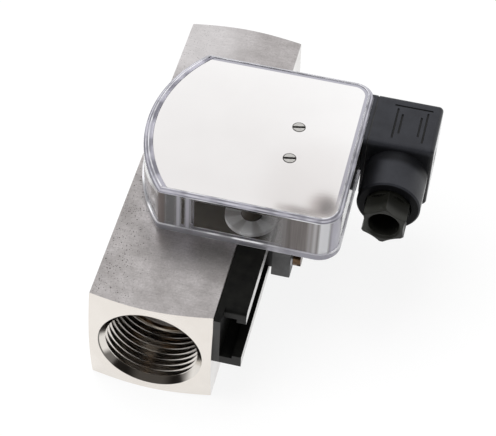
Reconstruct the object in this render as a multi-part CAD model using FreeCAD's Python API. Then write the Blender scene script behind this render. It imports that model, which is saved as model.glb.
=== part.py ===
import FreeCAD, Part
import math
import os

# Variable area flow meter: a square bar bored through for a sprung piston, a channel rail on its
# right side for the magnetic follower, and a clear housing with pointer, switch and plug.
# Lengths are millimetres. The origin lies on the bore axis in the gauge plane of the inlet
# thread. +Y runs with the flow, +X points to the plug side, +Z points to the front plate.

# General clearances
press_gap = 0.05
running_gap = 0.05
hole_gap = 0.2
free_gap = 0.3

# How far a cutter runs past the face that it cuts, and the half length of a slot cutter
past = 1.0
slot_reach = 4.0

# Flow body, a square stainless bar with turned ends
body_width = 40.0
body_length = 133.8
body_edge_radius = 0.5
turned_face_radius = 20.0
corner_setback = 2.2
gauge_depth = 2.2

# Port threads, one inch pipe size; the outlet's crests are bored wider, within the thread's tolerance
inlet_crest_radius = 15.145
outlet_crest_radius = 15.345
thread_root_radius = 16.624
thread_pitch = 2.309
thread_turns = 8
thread_half_angle = 27.5
thread_length = 20.6
mouth_radius = 17.1

# Bore behind the threads, depths from each end face
seat_radius = 14.5
shoulder_depth = 28.0
inlet_bore_radius = 13.5
main_bore_radius = 13.0

# Guide spiders, rod and snap rings
spider_thickness = 4.0
spider_rim = 1.9
spider_arm_width = 2.4
spider_arm_angles = (90, 210, 330)
spider_hub_radius = 3.6
rear_hub_length = 22.0
rod_radius = 2.0
rod_overhang = 1.6
clip_thickness = 0.6
clip_radius = 3.3
snap_ring_thickness = 1.2
snap_ring_width = 2.2
snap_ring_opening = 7.0
snap_groove_depth = 1.1

# Metering orifice and piston
orifice_thickness = 4.0
orifice_radius = 9.0
orifice_lead_in = 2.4
piston_travel = 10.0
piston_radius = 11.2
piston_flange = 2.7
nose_gap = 3.0
nose_length = 14.3
nose_base_radius = 8.6
nose_tip_radius = 5.0
sleeve_radius = 5.4
magnet_length = 8.0
magnet_radius = 10.5
piston_cap_thickness = 2.5
magnet_to_middle = 18.9

# Return spring
spring_wire_radius = 0.5
spring_coil_radius = 4.8
spring_turns = 8

# Side rail, a lipped channel with its open side facing out
rail_front_depth = 1.2
rail_length = 110.0
rail_web = 2.3
rail_reach = 9.4
rail_bottom_z = 0.0
rail_flange = 3.2
rail_lip_thickness = 3.0
rail_lower_lip_height = 4.5
rail_upper_lip_height = 4.8
rail_flange_setback = 5.0
rail_nose_radius = 2.4
rail_screw_z = 10.0
rail_screw_front_depth = 29.0
rail_screw_back_inset = 9.6
rail_screw_radius = 1.5
rail_screw_head_radius = 2.9
rail_screw_length = 7.0

# Magnetic follower in the rail
carriage_length = 12.7
follower_magnet_height = 7.6
follower_magnet_thickness = 2.3
follower_magnet_bottom = 1.6
leg_thickness = 1.2
leg_length = 4.2
leg_root_depth = 2.8
leg_back_wall = 1.0
leg_setback = 1.0

# Rack and gear
gear_module = 0.8
gear_teeth = 20
gear_thickness = 2.6
gear_bottom_z = 22.6
tooth_backlash = 0.12
centre_spread = 0.1
pressure_angle = 20.0
rack_teeth_ahead = 2
rack_teeth_behind = 5
rack_height = 2.9

# Mounting block and its clamp screws
block_gap = 0.9
block_thickness = 6.3
block_height = 19.0
block_half_length = 26.9
block_edge_radius = 0.4
tongue_reach = 1.4
clamp_screw_offset = 23.4
clamp_screw_z = 9.0
clamp_screw_radius = 2.0
clamp_head_radius = 3.5
clamp_head_length = 2.6
clamp_washer_radius = 3.9
clamp_washer_thickness = 0.6
clamp_nut_length = 6.0
clamp_end_gap = 0.9
clamp_slot_turns = (20, 65)
slot_width = 0.9
slot_depth = 1.1

# Housing outline, left side an arc, and the clear cover
house_half_length = 33.4
house_right_x = 52.2
house_arc_centre_x = 32.8
house_arc_radius = 51.7
house_right_corner = 7.5
house_left_corner = 2.6
house_least_corner = 0.25
cover_height = 17.6
cover_wall = 2.2
cover_ceiling = 3.0
cover_bevel_width = 2.1
cover_bevel_drop = 1.0
cover_skirt_height = 2.4
cover_skirt_step = 0.5
cover_rib_radius = 1.5
cover_rib_x = 3.4

# Front plate and its screws
plate_thickness = 0.6
plate_recess = 0.8
plate_margin = 2.3
plate_arc_extra = 1.3
plate_corner = 5.0
plate_screw_x = 30.5
plate_screw_spacing = 14.5
plate_screw_shift = -0.95
plate_screw_head_radius = 1.95
plate_screw_head_length = 1.3
plate_screw_radius = 1.2
plate_screw_length = 6.0
plate_screw_proud = 0.1
plate_screw_slot = 0.7
plate_slot_turns = (11, 13)

# Floor plate of the housing
floor_thickness = 1.8
floor_gap = 0.2
floor_screw_radius = 1.5
floor_screw_length = 7.0
floor_screw_head_radius = 2.5
floor_screw_head_height = 1.6
floor_screw_body_x = -8.0
floor_screw_body_offset = 22.0
floor_screw_block_front = 22.9
floor_screw_block_back = 11.7

# Gear spindle, bushes, bridge and posts
spindle_x = 33.0
spindle_radius = 1.5
spindle_end_gap = 0.6
bush_radius = 2.4
bush_flange_radius = 3.0
bush_flange = 0.4
bridge_bottom_z = 29.0
bridge_thickness = 1.5
bridge_left = 7.6
bridge_right = 13.5
bridge_half_length = 15.1
bridge_corner = 2.0
pillar_radius = 1.8
slim_pillar_radius = 1.4
pillar_stud_radius = 1.0
side_pillar_x = 10.5
side_pillar_y = 8.9
back_pillar_x = -5.4
back_pillar_y = 11.7
front_pillar_x = 3.5
front_pillar_y = 12.3
post_radius = 2.1
post_foot_radius = 1.6

# Pointer and its cap
pointer_hub_radius = 2.8
pointer_hub_height = 1.8
pointer_hub_lift = 0.3
pointer_thickness = 0.6
pointer_length = 41.0
pointer_root_half_width = 1.0
pointer_tip_half_width = 0.5
pointer_tail = 8.0
pointer_tail_radius = 1.9
pointer_rest_angle = 215.8
pointer_cap_height = 0.8
pointer_cap_radius = 2.2

# Switch cam and microswitch
cam_bottom_z = 25.6
cam_thickness = 1.8
cam_radius = 8.0
cam_rise = 1.5
cam_extra_turn = 9.0
switch_length = 15.6
switch_depth = 10.0
switch_height = 6.8
switch_offset_y = 14.7
switch_left = 3.8
switch_edge_radius = 0.5
plunger_radius = 1.0
plunger_hidden_length = 2.5
terminal_width = 2.4
terminal_thickness = 0.5
terminal_length = 2.6
terminal_hidden_length = 2.0
terminal_spacing = 5.0

# Set point dial
dial_x = 22.1
dial_offset_y = 21.8
dial_radius = 8.6
dial_bottom_z = 22.4
dial_thickness = 1.6
dial_hub_radius = 3.2
dial_hub_height = 4.4
dial_stem_radius = 2.0
dial_socket_floor = 0.6
dial_post_radius = 3.4

# Plug socket on the right wall
plug_offset_y = 18.2
plug_centre_z = 24.0
plug_width = 22.6
plug_height = 26.0
plug_corner = 1.8
plug_end_rounding = 1.6
flange_thickness = 0.8
gasket_thickness = 0.4
gasket_inset = 0.2
saddle_depth = 1.8
neck_half_width = 6.5
neck_bottom_z = 22.2
neck_top_z = 34.2
neck_inner_x = 46.5
neck_lug = 0.9
neck_lug_length = 1.2
neck_lug_drop = 2.0
pin_spacing = 10.0
earth_pin_rise = 6.2
pin_width = 4.0
pin_thickness = 0.8
pin_tail = 1.6
pin_reach = 7.0

# Plug
plug_depth = 21.8
plug_wall = 2.2
plug_front_face = 2.4
plug_inner_corner = 1.0
insert_length = 7.8
insert_gap = 0.3
insert_cable_stop = 3.0
plug_screw_radius = 1.5
plug_screw_head_radius = 2.8
plug_screw_head_length = 1.2
plug_screw_recess = 1.5
plug_screw_tip_inset = 1.0

# Moulded lines on the plug's top: distance each side of their middle, front end and back end
groove_lines = ((5.0, -8.1, 6.0), (3.2, -5.6, 3.6))
groove_cross_half = 6.4
groove_cross_back = 7.4
groove_shift = 1.6
groove_width = 0.6
groove_depth = 0.35

# Cable gland
gland_x_from_flange = 10.6
collar_radius = 10.5
collar_length = 15.2
collar_bore_radius = 7.6
collar_bore_depth = 13.7
collar_chamfer = 0.6
cable_radius = 5.0
cable_room = 0.6
nut_corner_radius = 8.1
nut_length = 8.2
nut_hollow = 0.6
nut_gap = 0.6
nut_bevel = 0.7
nut_lead_in = 0.8
nut_sleeve_radius = 7.3
nut_sleeve_length = 6.4
nut_sleeve_lap = 0.8
gland_washer_thickness = 0.8
gland_seal_gap = 0.1

# Planes worked out from the driving dimensions; mid is the housing's middle along the bar
half_width = body_width / 2
front = -gauge_depth
back = front + body_length
deck = half_width
rail_x = half_width
channel_x = rail_x + rail_web
rail_outer_x = rail_x + rail_reach
lip_x = rail_outer_x - rail_lip_thickness
channel_low = rail_bottom_z + rail_flange
channel_high = deck - rail_flange
slot_low = rail_bottom_z + rail_lower_lip_height
slot_high = deck - rail_upper_lip_height
piston_face = front + shoulder_depth + nose_gap + nose_length
orifice_back = piston_face - free_gap
orifice_seat_depth = orifice_back - front
magnet_front = piston_face + piston_flange
mid = magnet_front + magnet_to_middle
piston_back = magnet_front + magnet_length + piston_cap_thickness
spider_back_face = back - shoulder_depth
rear_hub_front = spider_back_face - rear_hub_length
floor_top = deck + floor_thickness
cover_top = deck + cover_height
ceiling_z = cover_top - cover_ceiling
recess_z = cover_top - plate_recess
plate_top = recess_z + plate_thickness
bridge_top = bridge_bottom_z + bridge_thickness
spindle_bottom = deck + spindle_end_gap
pitch_radius = gear_module * gear_teeth / 2
pitch_line_x = spindle_x - pitch_radius - centre_spread
rack_root_x = pitch_line_x - 1.25 * gear_module
leg_x = rack_root_x - leg_thickness
turn_angle = piston_travel / pitch_radius
carriage_front = magnet_front - leg_setback
leg_front = carriage_front + carriage_length - leg_back_wall - leg_length
pointer_bottom = bridge_top + bush_flange + pointer_hub_lift
pointer_top = pointer_bottom + pointer_hub_height
block_x = rail_outer_x + block_gap
block_outer_x = block_x + block_thickness
block_bottom = deck - block_height
plug_y = mid + plug_offset_y
flange_x = house_right_x
gasket_x = flange_x + flange_thickness
plug_x = gasket_x + gasket_thickness
plug_outer_x = plug_x + plug_depth
plug_front = plug_y - plug_width / 2
gland_x = plug_x + gland_x_from_flange
collar_front = plug_front - collar_length
dial_y = mid - dial_offset_y
wall_inner = cover_skirt_step + cover_wall


def point(x, y, z):
    return FreeCAD.Vector(x, y, z)


def block(x, y, z):
    """A box between low and high values on each axis."""
    size = [high - low for low, high in (x, y, z)]
    return Part.makeBox(size[0], size[1], size[2], point(x[0], y[0], z[0]))


def rod(radius, start, end):
    """A round bar between two points."""
    along = end.sub(start)
    return Part.makeCylinder(radius, along.Length, start, along)


def tube(outer, inner, start, end):
    """A round bar with a bore right through it."""
    step = end.sub(start).normalize()
    return rod(outer, start, end).cut(rod(inner, start.sub(step), end.add(step)))


def rod_y(radius, low, high, x=0.0, z=0.0):
    return rod(radius, point(x, low, z), point(x, high, z))


def rod_x(radius, low, high, y, z):
    return rod(radius, point(low, y, z), point(high, y, z))


def rod_z(radius, low, high, x, y):
    return rod(radius, point(x, y, low), point(x, y, high))


def turned_y(profile):
    """Turn a closed outline of (radius, place along the bore) points about the bore axis."""
    corners = [point(radius, place, 0) for radius, place in profile]
    face = Part.Face(Part.makePolygon(corners + corners[:1]))
    return face.revolve(point(0, 0, 0), point(0, 1, 0), 360)


def prism(corners, low, high):
    """Raise a closed outline of (x, y) points between two heights."""
    points = [point(x, y, low) for x, y in corners]
    return Part.Face(Part.makePolygon(points + points[:1])).extrude(point(0, 0, high - low))


def edges_along(shape, axis):
    """The straight edges of a shape that run along one axis."""
    found = []
    for edge in shape.Edges:
        if edge.Curve.TypeId != "Part::GeomLine":
            continue
        direction = edge.Curve.Direction
        if abs(abs(direction.dot(axis)) - 1) < 1e-6:
            found.append(edge)
    return found


def rounded_bar(x, y, z, radius, axis):
    """A box with the four edges along one axis rounded."""
    shape = block(x, y, z)
    return shape.makeFillet(radius, edges_along(shape, axis))


along_x = point(1, 0, 0)
along_y = point(0, 1, 0)
along_z = point(0, 0, 1)
os.makedirs("parts", exist_ok=True)


def save(name, *solids):
    """Write one sub-part as a group of its separate solids."""
    shape = solids[0] if len(solids) == 1 else Part.makeCompound(list(solids))
    shape.exportStep("parts/" + name + ".step")


# Flow body
def port_profile(crest_radius, bore_steps):
    """Half section of the space in one end, as (radius, depth from the end face)."""
    mouth_depth = mouth_radius - crest_radius
    depth = thread_root_radius - crest_radius
    half_groove = depth * math.tan(math.radians(thread_half_angle))
    root_flat = thread_pitch / 12
    first = mouth_depth + half_groove + 2 * root_flat
    outline = [(0, -past), (mouth_radius + past, -past), (crest_radius, mouth_depth)]
    for turn in range(thread_turns):
        middle = first + turn * thread_pitch
        outline.append((crest_radius, middle - half_groove - root_flat))
        outline.append((thread_root_radius, middle - root_flat))
        outline.append((thread_root_radius, middle + root_flat))
        outline.append((crest_radius, middle + half_groove + root_flat))
    groove_back = shoulder_depth - spider_thickness
    groove_front = groove_back - snap_ring_thickness - running_gap
    groove_radius = seat_radius + snap_groove_depth
    outline.append((crest_radius, thread_length))
    outline.append((seat_radius, thread_length))
    outline.append((seat_radius, groove_front))
    outline.append((groove_radius, groove_front))
    outline.append((groove_radius, groove_back))
    outline.append((seat_radius, groove_back))
    outline.append((seat_radius, shoulder_depth))
    return outline + bore_steps


def bore_space():
    """The whole space through the bar, both ports and the bore between them."""
    inlet_steps = [
        (inlet_bore_radius, shoulder_depth),
        (inlet_bore_radius, orifice_seat_depth),
        (main_bore_radius, orifice_seat_depth),
    ]
    outlet_steps = [(main_bore_radius, shoulder_depth)]
    inlet = [(radius, front + depth) for radius, depth in port_profile(inlet_crest_radius, inlet_steps)]
    outlet = [(radius, back - depth) for radius, depth in port_profile(outlet_crest_radius, outlet_steps)]
    return turned_y(inlet + outlet[::-1])


def turned_ends():
    """A turned envelope that cones the corners of both ends."""
    corner = half_width * math.sqrt(2)
    slope = corner_setback / (corner - turned_face_radius)
    outer = corner + past
    drop = (outer - turned_face_radius) * slope
    outline = [(0, front), (turned_face_radius, front), (outer, front + drop)]
    outline += [(outer, back - drop), (turned_face_radius, back), (0, back)]
    return turned_y(outline)


def rail_screw_places():
    rail_back = front + rail_front_depth + rail_length
    return [front + rail_screw_front_depth, rail_back - rail_screw_back_inset]


def floor_screw_places():
    """Screw positions of the floor plate: two in the bar, two in the mounting block."""
    block_middle = block_x + block_thickness / 2
    in_bar = [(floor_screw_body_x, mid - floor_screw_body_offset)]
    in_bar.append((floor_screw_body_x, mid + floor_screw_body_offset))
    in_block = [(block_middle, mid - floor_screw_block_front)]
    in_block.append((block_middle, mid + floor_screw_block_back))
    return in_bar, in_block


def flow_body():
    sides = (-half_width, half_width)
    bar = rounded_bar(sides, (front, back), sides, body_edge_radius, along_y)
    bar = bar.common(turned_ends()).cut(bore_space())
    for y in rail_screw_places():
        tip = rail_x - rail_screw_length + rail_web - free_gap
        bar = bar.cut(rod_x(rail_screw_radius + press_gap, tip, rail_x + past, y, rail_screw_z))
    for x, y in floor_screw_places()[0]:
        tip = floor_top - floor_screw_length - free_gap
        bar = bar.cut(rod_z(floor_screw_radius + press_gap, tip, deck + past, x, y))
    return bar


# Parts fixed inside the bore
def guide_spider(low, high, hub_low, hub_high):
    """A rim, a hub and three arms, turned and milled from one piece."""
    rim = seat_radius - press_gap
    shape = rod_y(rim, low, high).cut(rod_y(rim - spider_rim, low - past, high + past))
    for turn in spider_arm_angles:
        reach = rim - spider_rim / 2
        arm = block((0, reach), (low, high), (-spider_arm_width / 2, spider_arm_width / 2))
        arm.rotate(point(0, 0, 0), along_y, -turn)
        shape = shape.fuse(arm)
    shape = shape.fuse(rod_y(spider_hub_radius, hub_low, hub_high))
    return shape.cut(rod_y(rod_radius + press_gap, hub_low - past, hub_high + past)).removeSplitter()


def snap_ring(low):
    """An open ring sprung into its groove, its gap at the top."""
    outer = seat_radius + snap_groove_depth - press_gap
    high = low + snap_ring_thickness
    ring = tube(outer, outer - snap_ring_width, point(0, low, 0), point(0, high, 0))
    half_gap = snap_ring_opening / 2
    return ring.cut(block((-half_gap, half_gap), (low - past, high + past), (0, outer + past)))


def rod_clip(low):
    high = low + clip_thickness
    return tube(clip_radius, rod_radius + press_gap, point(0, low, 0), point(0, high, 0))


def orifice_ring():
    """The sharp-edged ring that the piston's nose meters."""
    outer = inlet_bore_radius - press_gap
    face = orifice_back - orifice_thickness
    lip = face + orifice_lead_in
    outline = [(outer, face), (outer, orifice_back), (orifice_radius, orifice_back)]
    outline += [(orifice_radius, lip), (orifice_radius + orifice_lead_in, face)]
    return turned_y(outline)


# Piston, seated against the orifice ring at no flow
def piston_cone():
    bore = rod_radius + running_gap
    outline = [
        (bore, piston_face - nose_length),
        (nose_tip_radius, piston_face - nose_length),
        (nose_base_radius, piston_face),
        (piston_radius, piston_face),
        (piston_radius, magnet_front),
        (sleeve_radius, magnet_front),
        (sleeve_radius, piston_back),
        (bore, piston_back),
    ]
    return turned_y(outline)


def piston_ring(outer, low, high):
    return tube(outer, sleeve_radius + press_gap, point(0, low, 0), point(0, high, 0))


def piston_spring():
    """A coil from the piston cap to the rear guide hub, at its resting length."""
    low = piston_back + free_gap + spring_wire_radius
    height = rear_hub_front - free_gap - spring_wire_radius - low
    helix = Part.makeHelix(height / spring_turns, height, spring_coil_radius)
    section = Part.makeCircle(spring_wire_radius, point(spring_coil_radius, 0, 0), along_y)
    coil = Part.Wire(helix).makePipeShell([Part.Wire(section)], True, True)
    coil.rotate(point(0, 0, 0), along_x, -90)
    coil.translate(point(0, low, 0))
    return coil


# Side rail and what fixes it
def follower_slot():
    """The slot that the follower's leg travels in, right through rail flange and floor."""
    side = free_gap
    x = (channel_x, rack_root_x + side)
    y = (leg_front - 2 * side, leg_front + leg_length + piston_travel + 2 * side)
    return block(x, y, (channel_high - past, floor_top + past))


def sensor_rail():
    low = front + rail_front_depth
    high = low + rail_length
    top_low = low + rail_flange_setback
    web = block((rail_x, channel_x), (low, high), (rail_bottom_z, deck))
    lower = block((rail_x, rail_outer_x), (low, high), (rail_bottom_z, channel_low))
    lower_lip = block((lip_x, rail_outer_x), (low, high), (rail_bottom_z, slot_low))
    upper = block((rail_x, rail_outer_x), (top_low, high), (channel_high, deck))
    upper_lip = block((lip_x, rail_outer_x), (top_low, high), (slot_high, deck))
    nose_y = top_low + rail_nose_radius
    nose_z = deck - rail_nose_radius
    nose = block((channel_x, rail_outer_x + past), (top_low - past, nose_y), (nose_z, deck + past))
    nose = nose.cut(rod_x(rail_nose_radius, rail_x, rail_outer_x + 2 * past, nose_y, nose_z))
    shape = web.fuse([lower, lower_lip, upper, upper_lip]).cut(nose).cut(follower_slot())
    for y in rail_screw_places():
        hole = rod_x(rail_screw_radius + press_gap, rail_x - past, channel_x + past, y, rail_screw_z)
        shape = shape.cut(hole)
        shape = shape.cut(countersink(y, press_gap))
    return shape.removeSplitter()


def countersink(y, gap):
    """The cone of a countersunk rail screw, its wide end flush with the web."""
    depth = rail_screw_head_radius - rail_screw_radius
    base = point(channel_x - depth, y, rail_screw_z)
    return Part.makeCone(rail_screw_radius + gap, rail_screw_head_radius + gap, depth, base, along_x)


def rail_screw(y):
    tip = channel_x - rail_screw_length
    shape = rod_x(rail_screw_radius, tip, channel_x, y, rail_screw_z).fuse(countersink(y, 0))
    half_slot = slot_width / 2
    slot_z = (rail_screw_z - half_slot, rail_screw_z + half_slot)
    slot = block((channel_x - slot_depth / 2, channel_x + past), (y - slot_reach, y + slot_reach), slot_z)
    return shape.cut(slot)


# Follower, carried along the rail by the piston's magnet
def follower_magnet_box(gap):
    low_z = channel_low + free_gap + follower_magnet_bottom
    x = (channel_x + free_gap, channel_x + free_gap + follower_magnet_thickness + gap)
    y = (magnet_front - gap, magnet_front + magnet_length + gap)
    return block(x, y, (low_z - gap, low_z + follower_magnet_height + gap))


def follower_leg_box(gap, top):
    low_z = channel_high - free_gap - leg_root_depth
    x = (leg_x - gap, rack_root_x + gap)
    return block(x, (leg_front - gap, leg_front + leg_length + gap), (low_z, top))


def follower_carriage():
    x = (channel_x + free_gap, lip_x - free_gap)
    y = (carriage_front, carriage_front + carriage_length)
    z = (channel_low + free_gap, channel_high - free_gap)
    shape = block(x, y, z).cut(follower_magnet_box(press_gap))
    return shape.cut(follower_leg_box(press_gap, channel_high))


def rack_outline():
    """Straight-sided teeth along the pitch line, a tooth space level with the spindle."""
    pitch = math.pi * gear_module
    slope = math.tan(math.radians(pressure_angle))
    half_tooth = pitch / 4 - tooth_backlash
    tip_x = pitch_line_x + gear_module
    root_half = half_tooth + slope * (pitch_line_x - rack_root_x)
    tip_half = half_tooth - slope * gear_module
    outline = []
    for tooth in range(-rack_teeth_behind, rack_teeth_ahead):
        middle = mid + (tooth + 0.5) * pitch
        outline.append((rack_root_x, middle - root_half))
        outline.append((tip_x, middle - tip_half))
        outline.append((tip_x, middle + tip_half))
        outline.append((rack_root_x, middle + root_half))
    end = outline[-1][1] + pitch / 4
    start = min(outline[0][1] - pitch / 4, leg_front)
    return [(leg_x, end), (leg_x, start), (rack_root_x, start)] + outline + [(rack_root_x, end)]


def follower_rack():
    bar = prism(rack_outline(), gear_bottom_z - free_gap / 2, gear_bottom_z + rack_height - free_gap / 2)
    return bar.fuse(follower_leg_box(0, gear_bottom_z)).removeSplitter()


# Mounting block under the housing, clamped to the rail's lips
def clamp_screw_places():
    return [mid - clamp_screw_offset, mid + clamp_screw_offset]


def mounting_block():
    y = (mid - block_half_length, mid + block_half_length)
    shape = rounded_bar((block_x, block_outer_x), y, (block_bottom, deck), block_edge_radius, along_z)
    tongue_x = (rail_outer_x - tongue_reach, block_x + block_edge_radius)
    shape = shape.fuse(block(tongue_x, y, (slot_low + free_gap, slot_high - free_gap)))
    for place in clamp_screw_places():
        hole = rod_x(clamp_screw_radius + hole_gap, lip_x, block_outer_x + past, place, clamp_screw_z)
        shape = shape.cut(hole)
    for x, place in floor_screw_places()[1]:
        tip = floor_top - floor_screw_length - free_gap
        shape = shape.cut(rod_z(floor_screw_radius + press_gap, tip, deck + past, x, place))
    return shape.removeSplitter()


def clamp_washer(y):
    x = (block_outer_x, block_outer_x + clamp_washer_thickness)
    start = point(x[0], y, clamp_screw_z)
    return tube(clamp_washer_radius, clamp_screw_radius + press_gap, start, point(x[1], y, clamp_screw_z))


def clamp_screw(y, slot_turn):
    """A slotted cheese-head screw with a rounded head edge."""
    head_x = block_outer_x + clamp_washer_thickness
    head = rod_x(clamp_head_radius, head_x, head_x + clamp_head_length, y, clamp_screw_z)
    head_end = head_x + clamp_head_length
    rim = [edge for edge in head.Edges if edge.BoundBox.XMin > head_end - press_gap and edge.Closed]
    head = head.makeFillet(slot_depth / 3, rim)
    half_slot = slot_width / 2
    reach = clamp_head_radius + past
    slot_z = (clamp_screw_z - half_slot, clamp_screw_z + half_slot)
    slot = block((head_end - slot_depth, head_end + past), (y - reach, y + reach), slot_z)
    slot.rotate(point(0, y, clamp_screw_z), along_x, slot_turn)
    tip = channel_x + clamp_end_gap
    return head.cut(slot).fuse(rod_x(clamp_screw_radius, tip, head_x, y, clamp_screw_z))


def clamp_nut(y):
    """A square nut held behind the rail's lips."""
    x = (channel_x + clamp_end_gap, lip_x - press_gap)
    half = clamp_nut_length / 2
    shape = block(x, (y - half, y + half), (channel_low + free_gap, channel_high - free_gap))
    return shape.cut(rod_x(clamp_screw_radius + press_gap, x[0] - past, x[1] + past, y, clamp_screw_z))


# Housing
def house_wire(inset, z, right_corner=house_right_corner, arc_extra=0.0, left_corner=house_left_corner):
    """The housing outline drawn in by an inset, as a closed wire at one height."""
    low = mid - house_half_length + inset
    high = mid + house_half_length - inset
    right = house_right_x - inset
    radius = house_arc_radius - inset - arc_extra
    corner = right_corner - inset
    small = max(left_corner - inset, house_least_corner)
    centre_x = house_arc_centre_x
    lean = low + small - mid
    small_x = centre_x - math.sqrt((radius - small) ** 2 - lean ** 2)
    reach = radius / (radius - small)
    touch_x = centre_x + (small_x - centre_x) * reach
    touch_y = mid + lean * reach
    bend = corner * (1 - 1 / math.sqrt(2))
    middle = (math.atan2(lean, small_x - centre_x) - math.pi / 2) / 2
    small_mid = (small_x + small * math.cos(middle), low + small + small * math.sin(middle))

    def line(start, end):
        return Part.LineSegment(point(*start, z), point(*end, z)).toShape()

    def arc(start, through, end):
        return Part.Arc(point(*start, z), point(*through, z), point(*end, z)).toShape()

    def mirrored(place):
        return (place[0], 2 * mid - place[1])

    small_start = (small_x, low)
    touch = (touch_x, touch_y)
    edges = [
        line(small_start, (right - corner, low)),
        arc((right - corner, low), (right - bend, low + bend), (right, low + corner)),
        line((right, low + corner), (right, high - corner)),
        arc((right, high - corner), (right - bend, high - bend), (right - corner, high)),
        line((right - corner, high), mirrored(small_start)),
        arc(mirrored(small_start), mirrored(small_mid), mirrored(touch)),
        arc(mirrored(touch), (centre_x - radius, mid), touch),
        arc(touch, small_mid, small_start),
    ]
    return Part.Wire(edges)


def house_prism(inset, low, high, **shape_of):
    face = Part.Face(house_wire(inset, low, **shape_of))
    return face.extrude(point(0, 0, high - low))


def plate_prism(gap, low, high):
    corner = plate_corner + plate_margin
    return house_prism(plate_margin - gap, low, high, right_corner=corner, arc_extra=plate_arc_extra)


def plate_screw_places():
    middle = mid + plate_screw_shift
    return [middle - plate_screw_spacing / 2, middle + plate_screw_spacing / 2]


def neck_box(gap):
    y = (plug_y - neck_half_width - gap, plug_y + neck_half_width + gap)
    return block((neck_inner_x, flange_x), y, (neck_bottom_z - gap, neck_top_z + gap))


def clear_cover():
    """A clear moulded cup, open below, with a stepped skirt and a bevelled top edge."""
    bevel_z = cover_top - cover_bevel_drop
    step = cover_skirt_step
    outer = house_prism(step, deck, bevel_z)
    top = Part.makeLoft([house_wire(step, bevel_z), house_wire(cover_bevel_width, cover_top)], True, True)
    skirt = house_prism(0, deck, deck + cover_skirt_height)
    shape = outer.fuse([top, skirt]).cut(house_prism(wall_inner, deck - past, ceiling_z))
    for side in (-1, 1):
        wall_y = mid + side * (house_half_length - wall_inner)
        rib_y = wall_y - side * cover_rib_radius / 2
        shape = shape.fuse(rod_z(cover_rib_radius, deck, ceiling_z + past, cover_rib_x, rib_y))
    shape = shape.cut(plate_prism(press_gap, recess_z, cover_top + past))
    for y in plate_screw_places():
        head_low = plate_top + plate_screw_proud - plate_screw_head_length
        head_hole = plate_screw_head_radius + press_gap
        shape = shape.cut(rod_z(head_hole, head_low, cover_top + past, plate_screw_x, y))
        shank_hole = plate_screw_radius + hole_gap
        shape = shape.cut(rod_z(shank_hole, ceiling_z - past, cover_top + past, plate_screw_x, y))
    window_x = (house_right_x - wall_inner - past, house_right_x + past)
    half_window = neck_half_width + hole_gap
    window_z = (neck_bottom_z - hole_gap, neck_top_z + hole_gap)
    window = block(window_x, (plug_y - half_window, plug_y + half_window), window_z)
    return shape.cut(window).removeSplitter()


def front_plate():
    shape = plate_prism(0, recess_z, plate_top)
    for y in plate_screw_places():
        shape = shape.cut(rod_z(plate_screw_head_radius + press_gap, deck, cover_top, plate_screw_x, y))
    return shape


def plate_screw(y, slot_turn):
    top = plate_top + plate_screw_proud
    head_low = top - plate_screw_head_length
    shape = rod_z(plate_screw_head_radius, head_low, top, plate_screw_x, y)
    half_slot = plate_screw_slot / 2
    slot_x = (plate_screw_x - slot_reach, plate_screw_x + slot_reach)
    slot = block(slot_x, (y - half_slot, y + half_slot), (top - slot_depth / 2, top + past))
    slot.rotate(point(plate_screw_x, y, 0), along_z, slot_turn)
    shank = rod_z(plate_screw_radius, head_low - plate_screw_length, head_low, plate_screw_x, y)
    return shape.cut(slot).fuse(shank)


def housing_floor():
    """The plate that carries the movement, with a raised seat for the dial stem."""
    shape = house_prism(wall_inner + floor_gap, deck, floor_top)
    low = deck - past
    high = floor_top + past
    rib_y = house_half_length - wall_inner - cover_rib_radius / 2
    for side in (-1, 1):
        shape = shape.cut(rod_z(cover_rib_radius + floor_gap, low, high, cover_rib_x, mid + side * rib_y))
    shape = shape.fuse(rod_z(dial_post_radius, deck, dial_bottom_z - free_gap, dial_x, dial_y))
    stem_low = deck + dial_socket_floor
    shape = shape.cut(rod_z(dial_stem_radius + running_gap, stem_low, dial_bottom_z, dial_x, dial_y))
    shape = shape.cut(follower_slot())
    shape = shape.cut(rod_z(bush_radius + press_gap, low, high, spindle_x, mid))
    for x, y, radius in pillar_places():
        shape = shape.cut(rod_z(pillar_stud_radius + press_gap, deck + hole_gap, high, x, y))
    for x, y in floor_screw_places()[0] + floor_screw_places()[1]:
        shape = shape.cut(rod_z(floor_screw_radius + press_gap, low, high, x, y))
    return shape


def floor_screw(x, y):
    """A slotted pan-head screw."""
    head_top = floor_top + floor_screw_head_height
    shape = rod_z(floor_screw_head_radius, floor_top, head_top, x, y)
    rim = [edge for edge in shape.Edges if edge.BoundBox.ZMin > head_top - press_gap and edge.Closed]
    shape = shape.makeFillet(slot_depth / 2, rim)
    half_slot = slot_width / 2
    slot_z = (head_top - slot_depth / 2, head_top + past)
    slot = block((x - slot_reach, x + slot_reach), (y - half_slot, y + half_slot), slot_z)
    return shape.cut(slot).fuse(rod_z(floor_screw_radius, floor_top - floor_screw_length, floor_top, x, y))


# Movement: bridge, pillars, bushes and screw posts
def pillar_places():
    """Pillar centres around the spindle, each with its own radius."""
    return [
        (spindle_x + side_pillar_x, mid - side_pillar_y, pillar_radius),
        (spindle_x + side_pillar_x, mid + side_pillar_y, pillar_radius),
        (spindle_x + back_pillar_x, mid + back_pillar_y, slim_pillar_radius),
        (spindle_x + front_pillar_x, mid - front_pillar_y, pillar_radius),
    ]


def pillar(x, y, radius):
    shape = rod_z(radius, floor_top, bridge_bottom_z, x, y)
    return shape.fuse(rod_z(pillar_stud_radius, deck + free_gap, bridge_top, x, y)).removeSplitter()


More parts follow.
